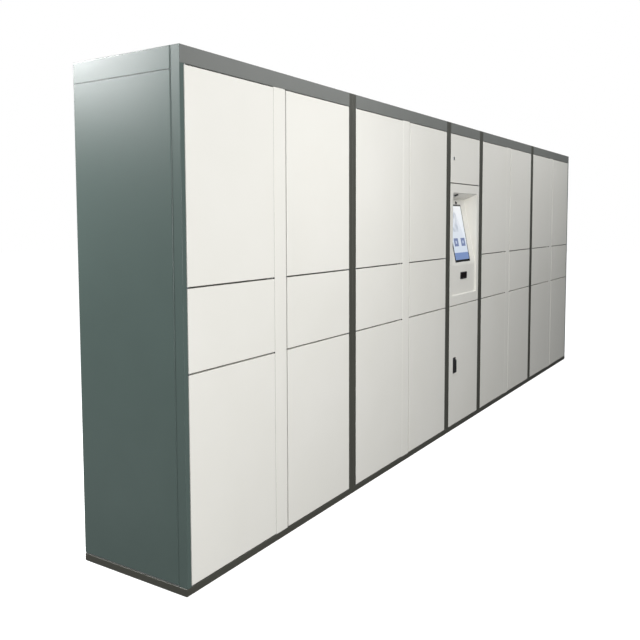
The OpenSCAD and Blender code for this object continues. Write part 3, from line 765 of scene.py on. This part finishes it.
# %% Lock hooks
HOOK_IN = 15 * MM             # hook, from the door's free edge
HOOK_T = 3 * MM
HOOK_H = 22 * MM
HOOK_LEN = 27 * MM
FOOT_W = 20 * MM
FOOT_T = 1.4 * MM
FOOT_H = 44 * MM
HOOK_WINDOW_LEN = 8 * MM
HOOK_WINDOW_H = 10 * MM
HOOK_TIP = 5 * MM             # steel left beyond the window
RIVET_R = 3 * MM
RIVET_H = 1.2 * MM
RIVET_FROM_MIDDLE = 16.5 * MM


def lock_hook(name, x, y, z):
    plate = slab("plate", x, z, HOOK_T, HOOK_H, y, y + HOOK_LEN)
    window_end = y + HOOK_LEN - HOOK_TIP
    window = slab("window", x, z, 2 * HOOK_T, HOOK_WINDOW_H,
                  window_end - HOOK_WINDOW_LEN, window_end)
    round_edges(window, 1.5 * MM, 2, lambda middle, along: abs(along.x) > 0.9)
    round_edges(plate, 5 * MM, 4,
                lambda middle, along: abs(along.x) > 0.9 and middle.y > y + HOOK_LEN - CLOSE)
    cut(plate, window)
    foot = slab("foot", x, z, FOOT_W, FOOT_H, y, y + FOOT_T)
    round_edges(foot, 3 * MM, 3, runs_back)
    parts = [plate, foot]
    for end in (-1, 1):
        rivet = rod("rivet", (x, y + FOOT_T, z + end * RIVET_FROM_MIDDLE), RIVET_R, RIVET_H,
                    "Y", 16)
        round_edges(rivet, 0.9 * MM, 3, lambda middle, along: middle.y > y + FOOT_T + 1 * MM)
        parts.append(rivet)
    hook = join(name, parts)
    smooth(hook, 40)
    return hook


hook_places = {}
for node, leaf in leaves.items():
    low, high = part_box(node)
    free_x = high.x - HOOK_IN if "_left_" in node else low.x + HOOK_IN
    hook_places[node] = Vector((free_x, low.y + DOOR_T + FIT, (low.z + high.z) / 2))
first_node = next(iter(hook_places))
first_hook = lock_hook(first_node.replace("door_", "hook_"), *hook_places[first_node])
for node, spot in hook_places.items():
    hook = first_hook
    if node != first_node:
        hook = copy_to(first_hook, node.replace("door_", "hook_"), spot - hook_places[first_node])
    fit(hook, node, "bright_steel", zinc_plate)
print("lock hooks:", len(hook_places), "of", len(first_hook.data.polygons), "faces each")

# %% [markdown]
# ## Service doors and their locks
# The terminal's two service doors are made like the locker doors, hinged on the right. The lower one
# has a black swing handle on a plate; its spindle goes through the door to a flat cam. The upper one
# has a small cam lock. The holes for them are cut with the same cutter as the slots.

# %% Service doors
HANDLE_IN = 92 * MM           # spindle, from the door's free edge
LOCK_IN = 56 * MM
SPINDLE_R = 6 * MM
SPINDLE_GAP = 0.3 * MM
PLUG_R = 9 * MM
PLUG_GAP = 0.2 * MM
lower_low, lower_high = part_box("service_door_bottom")
upper_low, upper_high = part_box("service_door_top")
plate_low, plate_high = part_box("handle_plate")
lever_low, lever_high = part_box("door_handle")
lock_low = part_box("cam_lock")[0]
LEVER_R = (lever_high.x - lever_low.x) / 2
spindle = Vector((lower_low.x + HANDLE_IN, door_face, lever_high.z - LEVER_R))
lock_spot = Vector((upper_low.x + LOCK_IN, door_face, (upper_low.z + upper_high.z) / 2))


def front_hole(spot, radius, gap):
    """A cutter that starts in front of a spot on the doors' face and goes right through."""
    return rod("hole", spot - Vector((0, 10 * MM, 0)), radius + gap, 35 * MM)


lower_leaf = door_leaf("service_leaf_bottom", lower_low, lower_high, False,
                       [front_hole(spindle, SPINDLE_R, SPINDLE_GAP)])
fit(lower_leaf, "service_door_bottom", "door_paint", white_coat, "service_door_bottom")
upper_leaf = door_leaf("service_leaf_top", upper_low, upper_high, False,
                       [front_hole(lock_spot, PLUG_R, PLUG_GAP)])
fit(upper_leaf, "service_door_top", "door_paint", white_coat, "service_door_top")
print("service doors in mm:", [round(v / MM) for v in (lower_high.x - lower_low.x,
                                                     lower_high.z - lower_low.z,
                                                     upper_high.z - upper_low.z)])

# %% Swing handle
LEVER_T = 9 * MM
CAM_Y = 24 * MM               # cams, behind the door's face
CAM_T = 3 * MM
NUT_T = 3 * MM
HANDLE_CAM_R = 10 * MM
LEVER_FOOT = 6 * MM           # lever, above the foot of its plate


def rounded_plate(name, low, high, top_r, bottom_r, rim_r):
    """A plate facing the front, with rounded corners and a rounded front rim."""
    middle_z = (low[2] + high[2]) / 2
    piece = block(name, low, high)
    round_edges(piece, top_r, 8, lambda middle, along: abs(along.y) > 0.9 and middle.z > middle_z)
    round_edges(piece, bottom_r, 6,
                lambda middle, along: abs(along.y) > 0.9 and middle.z < low[2] + CLOSE)
    round_edges(piece, rim_r, 3, lambda middle, along: middle.y < low[1] + CLOSE)
    smooth(piece, 40)
    return piece


def cam(name, spot, radius, reach, start_y):
    """A flat cam with round ends, on the back end of its spindle."""
    arm = block("arm", (spot.x - radius, door_face + CAM_Y, spot.z - reach),
                (spot.x + radius, door_face + CAM_Y + CAM_T, spot.z + radius))
    round_edges(arm, radius - 0.2 * MM, 6, runs_back)
    shaft = rod("shaft", (spot.x, start_y, spot.z), min(SPINDLE_R, radius),
                door_face + CAM_Y - start_y)
    nut = rod("nut", (spot.x, door_face + CAM_Y - NUT_T, spot.z), radius * 0.85, NUT_T, "Y", 6)
    piece = join(name, [arm, shaft, nut])
    smooth(piece, 40)
    return piece


plate = rounded_plate("handle_plate_cover", plate_low, plate_high, 5 * MM, 5 * MM, 0.8 * MM)
cut(plate, front_hole(spindle, SPINDLE_R, SPINDLE_GAP))
fit(plate, "service_door_bottom", "black_plastic", black_abs, "handle_plate")
lever_foot_z = plate_low.z + LEVER_FOOT
lever = rounded_plate("handle_lever", (lever_low.x, lever_low.y, lever_foot_z),
                      (lever_high.x, lever_low.y + LEVER_T, lever_high.z),
                      LEVER_R - 0.2 * MM, 6 * MM, 2 * MM)
fit(lever, "handle", "black_plastic", black_abs, "door_handle")
handle_cam = cam("handle_cam", spindle, HANDLE_CAM_R, spindle.z - lever_low.z, lever_low.y + LEVER_T)
fit(handle_cam, "handle", "bright_steel", zinc_plate)
print("swing handle in mm:", [round((lever_high - lever_low)[i] / MM, 1) for i in range(3)])

# %% Cam lock
COLLAR_R = 12 * MM
COLLAR_T = 1.5 * MM
KEY_SLOT_W = 2 * MM
KEY_SLOT_H = 9 * MM
KEY_SLOT_DEPTH = 1.2 * MM
collar = rod("collar", (lock_spot.x, lock_low.y, lock_spot.z), COLLAR_R, COLLAR_T, "Y", 48)
dish(collar, FRONT, COLLAR_R - PLUG_R, 0.3 * MM, 0.6 * MM)
round_edges(collar, 0.8 * MM, 3,
            lambda middle, along: middle.y < lock_low.y + CLOSE
            and math.hypot(middle.x - lock_spot.x, middle.z - lock_spot.z) > COLLAR_R - 1 * MM)
cut(collar, slab("key_slot", lock_spot.x, lock_spot.z, KEY_SLOT_W, KEY_SLOT_H,
                 lock_low.y - 1 * MM, lock_low.y + KEY_SLOT_DEPTH))
lock_cam = cam("lock_cam", lock_spot, PLUG_R, lock_spot.z - lock_low.z, lock_low.y + COLLAR_T)
cam_lock_piece = join("cam_lock_barrel", [collar, lock_cam])
smooth(cam_lock_piece, 40)
fit(cam_lock_piece, "cam_lock", "bright_steel", zinc_plate, "cam_lock")
print("cam lock at", [round(v / MM, 1) for v in lock_spot])

# %% [markdown]
# ## Kiosk panel and its recess
# The kiosk is one pressed and welded shell: a panel like a door, with a mouth from which the walls
# run back to a screen wall that leans away at the top. The panel's front is cut at the mouth's
# borders, the mouth is extruded to the depth below the screen, and the top edge of its back is then
# moved back and down, which makes the lean and the sloping ceiling in one go. All its corners get the
# same small radius. The openings for the glass and the scanner are cut into the back wall last.

# %% Kiosk shell
LEAN = math.radians(11)
RECESS_DEPTH = 10 * MM
KNEE = 205 * MM               # height of the upright wall below the leaning one
CEILING_DROP = 38 * MM
SCREEN_RISE = 20 * MM         # glass above the knee, along the wall
ABOVE_GLASS = 38 * MM         # from the glass to the top of the leaning wall
GLASS_T = 3 * MM
GAP = 0.4 * MM                # round the glass and the scanner
KIOSK_FOLD_R = 2.5 * MM
WINDOW_W = 116 * MM           # the scanner's frame
WINDOW_H = 48 * MM
WINDOW_RISE = 105 * MM        # its foot above the floor of the recess
kiosk_low, kiosk_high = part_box("kiosk_panel")
liner_low, liner_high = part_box("recess_liner")
glass_low, glass_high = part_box("screen_glass")
mouth_x = liner_high.x - CASE_SHEET
mouth_low, mouth_high = liner_low.z + CASE_SHEET, liner_high.z - CASE_SHEET
knee = Vector((0, door_face + RECESS_DEPTH, mouth_low + KNEE))
back_top = mouth_high - CEILING_DROP
lean_rise = back_top - knee.z
slope = Vector((0, math.sin(LEAN), math.cos(LEAN)))
GLASS_W = glass_high.x - glass_low.x
GLASS_H = lean_rise / math.cos(LEAN) - SCREEN_RISE - ABOVE_GLASS


def faces_front(middle, normal):
    return normal.y < -0.99 and middle.y < door_face + CLOSE


def slice_at(piece, test, spot, normal):
    pick(piece, "FACE", test)
    bpy.ops.mesh.bisect(plane_co=spot, plane_no=normal)


def open_window(piece, test, x, bottom, top, up_normal):
    """Cuts a window into the faces that pass a test."""
    slice_at(piece, test, (-x, 0, 0), RIGHT)
    slice_at(piece, test, (x, 0, 0), RIGHT)
    slice_at(piece, test, bottom, up_normal)
    slice_at(piece, test, top, up_normal)
    low_reach, high_reach = Vector(bottom).dot(up_normal), Vector(top).dot(up_normal)
    pick(piece, "FACE", lambda middle, normal: test(middle, normal) and abs(middle.x) < x
         and low_reach < middle.dot(up_normal) < high_reach)
    bpy.ops.mesh.delete(type="FACE")


shell = block("kiosk_shell", kiosk_low, kiosk_high)
pick(shell, "FACE", lambda middle, normal: normal.y > 0.9)
bpy.ops.mesh.delete(type="FACE")
for spot, normal in (((-mouth_x, 0, 0), RIGHT), ((mouth_x, 0, 0), RIGHT),
                     ((0, 0, mouth_low), TOP), ((0, 0, mouth_high), TOP), (knee, TOP)):
    slice_at(shell, faces_front, spot, normal)
pick(shell, "FACE", lambda middle, normal: faces_front(middle, normal)
     and abs(middle.x) < mouth_x and mouth_low < middle.z < mouth_high)
bpy.ops.mesh.extrude_region_move(TRANSFORM_OT_translate={"value": (0, RECESS_DEPTH, 0)})
pick(shell, "VERT", lambda spot, _: abs(spot.y - knee.y) < CLOSE
     and abs(spot.z - mouth_high) < CLOSE and abs(spot.x) < mouth_x + CLOSE)
bpy.ops.transform.translate(value=(0, lean_rise * math.tan(LEAN), -CEILING_DROP))
round_folds(shell, KIOSK_FOLD_R)
glass_bottom = knee + slope * (SCREEN_RISE - GAP)
glass_top = knee + slope * (SCREEN_RISE + GLASS_H + GAP)
open_window(shell, lambda middle, normal: abs(normal.z - math.sin(LEAN)) < 0.02
            and normal.y < -0.9 and middle.y > knee.y,
            GLASS_W / 2 + GAP, glass_bottom, glass_top, slope)
scanner_low, scanner_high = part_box("scanner_module")
window_z = mouth_low + WINDOW_RISE
open_window(shell, lambda middle, normal: normal.y < -0.999 and abs(middle.y - knee.y) < CLOSE
            and middle.z < knee.z,
            WINDOW_W / 2 + GAP, (0, 0, window_z - GAP), (0, 0, window_z + WINDOW_H + GAP),
            Vector(TOP))
give_wall(shell, CASE_SHEET)
smooth(shell)
fit(shell, "kiosk", "door_paint", white_coat, "kiosk_panel", "recess_liner")
print("kiosk shell:", len(shell.data.polygons), "faces; glass in mm:",
      round(GLASS_W / MM, 1), "x", round(GLASS_H / MM, 1))

# %% [markdown]
# ## Touch screen
# The screen is one pane of toughened glass that stands a little proud of the leaning wall. A black
# border is printed on its back, wider at the foot, and the display behind it shows a plain page of
# made-up shapes: a pale page with two tiles and a blue foot. The pane is modelled upright at the
# knee of the wall and then leaned about it. Its picture is drawn by nodes on the pane's own flat
# coordinates, which a Mapping node gets back from the leaning ones.

# %% Screen picture
DISPLAY_W = GLASS_W - 22 * MM
DISPLAY_LOW, DISPLAY_HIGH = 16 * MM, GLASS_H - 12 * MM


def box_mask(tree, across, along, x_range, z_range):
    """1 inside a rectangle of the screen, and 0 outside it."""
    mask = 1.0
    for value, (low, high) in ((across, x_range), (along, z_range)):
        for limit, side in ((low, "GREATER_THAN"), (high, "LESS_THAN")):
            inside = add_node(tree, "ShaderNodeMath", {0: value, 1: limit}, operation=side)
            mask = add_node(tree, "ShaderNodeMath", {0: mask, 1: inside}, operation="MULTIPLY")
    return mask


def paint_over(tree, under, mask, hex_colour):
    return add_node(tree, "ShaderNodeMix", {0: mask, 6: under, 7: linear(hex_colour)},
                    data_type="RGBA").outputs[2]


def screen_finish():
    """Clear toughened glass over a printed border and a lit display."""
    material, tree, place = start_finish("toughened_glass_over_display")
    flat = add_node(tree, "ShaderNodeMapping",
                    {"Vector": place, "Location": knee + slope * SCREEN_RISE,
                     "Rotation": (-LEAN, 0, 0)}, vector_type="TEXTURE")
    parts = add_node(tree, "ShaderNodeSeparateXYZ", {0: flat})
    across, along = parts.outputs[0], parts.outputs[2]
    page = add_node(tree, "ShaderNodeMapRange",
                    {"Value": along, "From Min": DISPLAY_LOW, "From Max": DISPLAY_HIGH})
    haze = add_node(tree, "ShaderNodeTexNoise",
                    {"Vector": flat, "Scale": 1 / (70 * MM), "Detail": 1.0})
    sky = add_node(tree, "ShaderNodeMix",
                   {0: page, 6: linear("#D9E6F7"), 7: linear("#F6F8FB")},
                   data_type="RGBA").outputs[2]
    cloud = add_node(tree, "ShaderNodeMapRange",
                     {"Value": haze, "From Min": 0.42, "From Max": 0.62,
                      "To Min": 0.0, "To Max": 0.55})
    middle = box_mask(tree, across, along, (-0.36 * DISPLAY_W, 0.05 * DISPLAY_W),
                      (0.52 * GLASS_H, 0.86 * GLASS_H))
    blot = add_node(tree, "ShaderNodeMath", {0: cloud, 1: middle}, operation="MULTIPLY")
    picture = paint_over(tree, sky, blot, "#A9B4C4")
    for x0, x1 in ((-0.40, -0.10), (0.10, 0.40)):
        tile = box_mask(tree, across, along, (x0 * DISPLAY_W, x1 * DISPLAY_W),
                        (0.27 * GLASS_H, 0.41 * GLASS_H))
        sign = box_mask(tree, across, along, ((x0 + 0.10) * DISPLAY_W, (x1 - 0.10) * DISPLAY_W),
                        (0.315 * GLASS_H, 0.365 * GLASS_H))
        picture = paint_over(tree, picture, tile, "#7F8DB4")
        picture = paint_over(tree, picture, sign, "#C4D0E8")
    foot = box_mask(tree, across, along, (-GLASS_W, GLASS_W), (0, 0.16 * GLASS_H))
    picture = paint_over(tree, picture, foot, "#7F97C8")
    lit = box_mask(tree, across, along, (-DISPLAY_W / 2, DISPLAY_W / 2),
                   (DISPLAY_LOW, DISPLAY_HIGH))
    glow = add_node(tree, "ShaderNodeMix", {0: lit, 6: (0, 0, 0, 1), 7: picture},
                    data_type="RGBA").outputs[2]
    smear = add_node(tree, "ShaderNodeMapRange", {"Value": haze, "To Min": 0.04, "To Max": 0.12})
    glass = add_node(tree, "ShaderNodeBsdfPrincipled",
                     {"Base Color": linear("#0E0F12"), "Roughness": smear, "IOR": 1.52,
                      "Emission Color": glow, "Emission Strength": 0.85})
    end_finish(tree, glass)
    return material


pane = block("touch_screen", (-GLASS_W / 2, -GLASS_T / 2, 0), (GLASS_W / 2, GLASS_T / 2, GLASS_H),
             (-LEAN, 0, 0), knee + slope * SCREEN_RISE)
round_edges(pane, 0.6 * MM, 2)
smooth(pane, 40)
fit(pane, "kiosk", "screen_glass", screen_finish(), "screen_glass")
print("display in mm:", round(DISPLAY_W / MM), "x", round((DISPLAY_HIGH - DISPLAY_LOW) / MM))

# %% [markdown]
# ## Scanner, camera and lamp
# Below the screen a scanner looks out through a window of black acrylic in a moulded frame. Above the
# screen there is a small camera: a ring with a domed lens. A round lamp, here a disc of black ABS
# with a dished face, sits on the recess ceiling.

# %% Scanner window
BEZEL_CORNER_R = 5 * MM
BEZEL_RIM = 4 * MM            # its flat rim, round the window
OUTLINE = 3 * MM              # how near its outline an outer edge lies
PANE_IN = 5 * MM              # window pane, from the outline of the bezel
PANE_T = 1.2 * MM             # its thickness, and how far it is set in
window_middle = window_z + WINDOW_H / 2


def fit_module(piece, finish, *nodes):
    """Smooths a moulded piece and fits it on the kiosk."""
    smooth(piece, 40)
    fit(piece, "kiosk", "black_plastic", finish, *nodes)


bezel = slab("scanner_bezel", 0, window_middle, WINDOW_W, WINDOW_H,
             scanner_low.y, knee.y + CASE_SHEET)
round_edges(bezel, BEZEL_CORNER_R, 4, runs_back)
dish(bezel, FRONT, BEZEL_RIM, 1.5 * MM, 2 * MM)
round_edges(bezel, 0.8 * MM, 2,
            lambda middle, along: middle.y < scanner_low.y + CLOSE and abs(along.y) < 0.1
            and (abs(middle.x) > WINDOW_W / 2 - OUTLINE
                 or abs(middle.z - window_middle) > WINDOW_H / 2 - OUTLINE))
fit_module(bezel, black_abs, "scanner_module")
housing = block("scanner_housing", (scanner_low.x, knee.y + CASE_SHEET + FIT, scanner_low.z),
                scanner_high)
round_edges(housing, 2 * MM, 2)
fit_module(housing, black_abs)


def acrylic():
    """Cast acrylic, dyed so dark that it looks black and lets only red and infrared through."""
    material, tree, place = start_finish("dark_cast_acrylic")
    wipe = add_node(tree, "ShaderNodeTexNoise",
                    {"Vector": place, "Scale": 1 / (25 * MM), "Detail": 3.0})
    end_finish(tree, two_shades(tree, wipe, "#0B0708", "#180B0D", (0.03, 0.12), {"IOR": 1.49}))
    return material


dark_acrylic = acrylic()
window_pane = slab("scanner_window", 0, window_middle, WINDOW_W - 2 * PANE_IN,
                   WINDOW_H - 2 * PANE_IN, scanner_low.y + PANE_T, scanner_low.y + 2 * PANE_T)
round_edges(window_pane, 1.5 * MM, 2, runs_back)
fit_module(window_pane, dark_acrylic)
print("scanner window", round(WINDOW_W / MM), "x", round(WINDOW_H / MM), "mm")

# %% Camera and lamp
CAMERA_X = 60 * MM
CAMERA_RISE = 12.5 * MM       # above the glass
RING_R = 11.8 * MM
RING_PROUD = 3 * MM
LENS_R = 8.4 * MM
LENS_PROUD = 0.6 * MM
CAMERA_CASE = ((-16 * MM, 2 * MM, -6 * MM), (16 * MM, 22 * MM, 16 * MM))
camera_middle = knee + slope * (SCREEN_RISE + GLASS_H + CAMERA_RISE)


def on_wall(piece, name, proud=0):
    """Leans a piece that was modelled at the origin and puts it in the camera's place."""
    piece.rotation_euler = (-LEAN, 0, 0)
    piece.location = camera_middle + Vector((CAMERA_X, -proud, 0))
    return settle(piece, name)


ring = rod("ring", (0, -RING_PROUD, 0), RING_R, RING_PROUD - FIT, "Y", 40)
dish(ring, FRONT, 1.6 * MM, 0.6 * MM, 0.8 * MM)
round_edges(ring, 0.8 * MM, 3, lambda middle, along: middle.y < -RING_PROUD + CLOSE
            and math.hypot(middle.x, middle.z) > RING_R - 0.5 * MM)
ring = on_wall(ring, "camera_ring")
fit_module(ring, black_abs, "camera_module")
clear()
bpy.ops.mesh.primitive_uv_sphere_add(segments=32, ring_count=16, radius=LENS_R)
lens = settle(bpy.context.object, "lens")
pick(lens, "FACE", lambda middle, normal: True)
bpy.ops.mesh.bisect(plane_co=(0, 0, 0), plane_no=BACK, clear_outer=True, use_fill=True)
lens = on_wall(lens, "camera_lens", LENS_PROUD)
fit_module(lens, dark_acrylic)
board = block("camera_board", *CAMERA_CASE)
round_edges(board, 1 * MM, 2)
board = on_wall(board, "camera_housing")
fit_module(board, black_abs)

LAMP_R = 14 * MM
LAMP_DROP = 8 * MM
LAMP_X = -100 * MM
LAMP_DEPTH = 30 * MM          # behind the door's face
ceiling_slope = CEILING_DROP / (RECESS_DEPTH + lean_rise * math.tan(LEAN))
lamp_z = mouth_high - LAMP_DEPTH * ceiling_slope
lamp = rod("lamp", (0, 0, -LAMP_DROP), LAMP_R, LAMP_DROP + 1 * MM, "Z", 40)
dish(lamp, BOTTOM, 1.5 * MM, 0.5 * MM, 0.7 * MM)
round_edges(lamp, 1.0 * MM, 3, lambda middle, along: middle.z < -LAMP_DROP + CLOSE
            and math.hypot(middle.x, middle.y) > LAMP_R - 0.5 * MM)
clear()
lamp.rotation_euler = (-math.atan(ceiling_slope), 0, 0)
lamp.location = (LAMP_X, door_face + LAMP_DEPTH, lamp_z)
lamp = settle(lamp, "ceiling_lamp")
fit_module(lamp, black_abs)
print("camera and lamp:", [round(v / MM) for v in camera_middle], round(lamp_z / MM))

# %% [markdown]
# ## Finishes of the other CAD pieces
# The sub-parts behind the doors and on the roof already have their true shape in the CAD model, so
# they keep their meshes and get a finish of their own: grey coat for the inner sheets, zinc for pins,
# plates and feet, ABS for the locks' and electronics' housings, PVC for ducts, rubber for buffers.
# The nodes that pieces stand for get the finish of those pieces. All others are white.

# %% Finishes by node
nodes_by_finish = [
    (inner_coat, ["side_panels", "partition_walls", "base_pans", "back_panels", "power_supply"]),
    (shelf_coat_with_painted_shade, ["shelves"]),
    (case_coat, ["roof_panels", "end_panels", "end_bands"]),
    (header_coat, ["header_fascias"]),
    (frame_coat, ["door_stops", "front_posts", "plinth_rails"]),
    (zinc_plate, ["lock_faceplates", "hinge_lugs", "hinge_pins", "levelling_feet",
                  "joining_bolts", "cam_lock"]),
    (black_abs, ["lock_bodies", "control_computer", "screen_module", "cable_gland",
                 "camera_module", "scanner_module", "screen_glass", "handle_plate",
                 "door_handle"]),
    (buffer_and_shade_bead_rubber, ["door_buffers"]),
    (green_lacquer, ["lock_control_boards"]),
    (duct_pvc, ["wiring_trunking"]),
]
node_finish = {node: finish for finish, nodes in nodes_by_finish for node in nodes}
for node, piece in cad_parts.items():
    finish = node_finish.get(node, white_coat)
    if not piece.material_slots:
        piece.data.materials.append(finish)
    for slot in piece.material_slots:
        slot.material = finish
print("CAD nodes with a finish:", len(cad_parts))

# %% [markdown]
# ## Floor and light
# The bank stands on a plain pale floor in a white studio. A large soft box high on the left in front
# is the key light: it falls off along the row, so the near doors are bright and the far ones greyer,
# and it leaves the plinth darker than the header. The studio's own white fills the shadows.

# %% Floor
FLOOR_DROP = 0.5 * MM
FLOOR_SIZE = 60
clear()
bpy.ops.mesh.primitive_plane_add(size=FLOOR_SIZE, location=(0, 0, -FLOOR_DROP))
floor = settle(bpy.context.object, "studio_floor")


def floor_paint():
    """Matt floor paint, rolled on. The camera sees it lit up like studio paper."""
    material, tree, place = start_finish("matt_floor_paint")
    cloud = add_node(tree, "ShaderNodeTexNoise", {"Vector": place, "Scale": 1.5, "Detail": 2.0})
    pale = add_node(tree, "ShaderNodeMix",
                    {0: cloud, 6: linear("#F2F2F2"), 7: linear("#EBEBEB")},
                    data_type="RGBA")
    grey = add_node(tree, "ShaderNodeMix",
                    {0: cloud, 6: linear("#565656"), 7: linear("#505050")},
                    data_type="RGBA")
    seen_paint = add_node(tree, "ShaderNodeBsdfPrincipled",
                          {"Base Color": pale.outputs[2], "Roughness": 0.9,
                           "Emission Color": (1, 1, 1, 1), "Emission Strength": 0.8})
    paint = add_node(tree, "ShaderNodeBsdfPrincipled",
                     {"Base Color": grey.outputs[2], "Roughness": 0.9})
    ray = add_node(tree, "ShaderNodeLightPath", {})
    both = add_node(tree, "ShaderNodeMixShader",
                    {0: ray.outputs["Is Camera Ray"], 1: paint,
                     2: seen_paint})
    end_finish(tree, both)
    return material


floor.data.materials.append(floor_paint())

# %% Studio light
world = bpy.data.worlds.new("studio")
bpy.context.scene.world = world
world.use_nodes = True
tree = world.node_tree
tree.nodes.clear()
sky = add_node(tree, "ShaderNodeTexCoord", {})
height = add_node(tree, "ShaderNodeSeparateXYZ", {0: sky.outputs["Generated"]})
level = add_node(tree, "ShaderNodeMapRange",
                 {"Value": height.outputs[2], "From Min": -0.1, "From Max": 0.9,
                  "To Min": 0.10, "To Max": 0.42})
path = add_node(tree, "ShaderNodeLightPath", {})
fill = add_node(tree, "ShaderNodeBackground", {"Color": linear("#F4F8FA"), "Strength": level})
paper = add_node(tree, "ShaderNodeBackground", {"Color": (1, 1, 1, 1), "Strength": 1.0})
seen = add_node(tree, "ShaderNodeMixShader", {0: path.outputs["Is Camera Ray"], 1: fill, 2: paper})
add_node(tree, "ShaderNodeOutputWorld", {"Surface": seen})

SOFT_BOXES = {
    # name: place, what it is aimed at, width and height, watts
    "key_box": ((-5.5, -5.0, 4.2), (-1.5, 0, 1.2), (3.0, 2.2), 195),
    "front_box": ((-3.9, -4.5, 1.5), (-2.2, 0, 1.1), (2.4, 1.6), 88),
    "corner_box": ((-5.2, 3.2, 3.1), (-2.9, 0, 1.8), (1.4, 1.2), 62),
    "edge_box": ((-4.0, 2.2, 3.2), (-2.9, 0, 1.8), (1.0, 1.0), 150),
    "top_box": ((1.8, -2.0, 3.7), (1.6, -0.3, 1.4), (3.4, 1.2), 46),
    "kiosk_box": ((-2.0, -1.6, 2.0), (0, -0.2, 1.35), (0.5, 0.5), 6),
}
for name, (spot, target, size, power) in SOFT_BOXES.items():
    data = bpy.data.lights.new(name, "AREA")
    data.shape = "RECTANGLE"
    data.size, data.size_y = size
    data.energy = power
    box = bpy.data.objects.new(name, data)
    box.location = spot
    box.rotation_euler = (Vector(target) - Vector(spot)).to_track_quat("-Z", "Y").to_euler()
    bpy.context.scene.collection.objects.link(box)
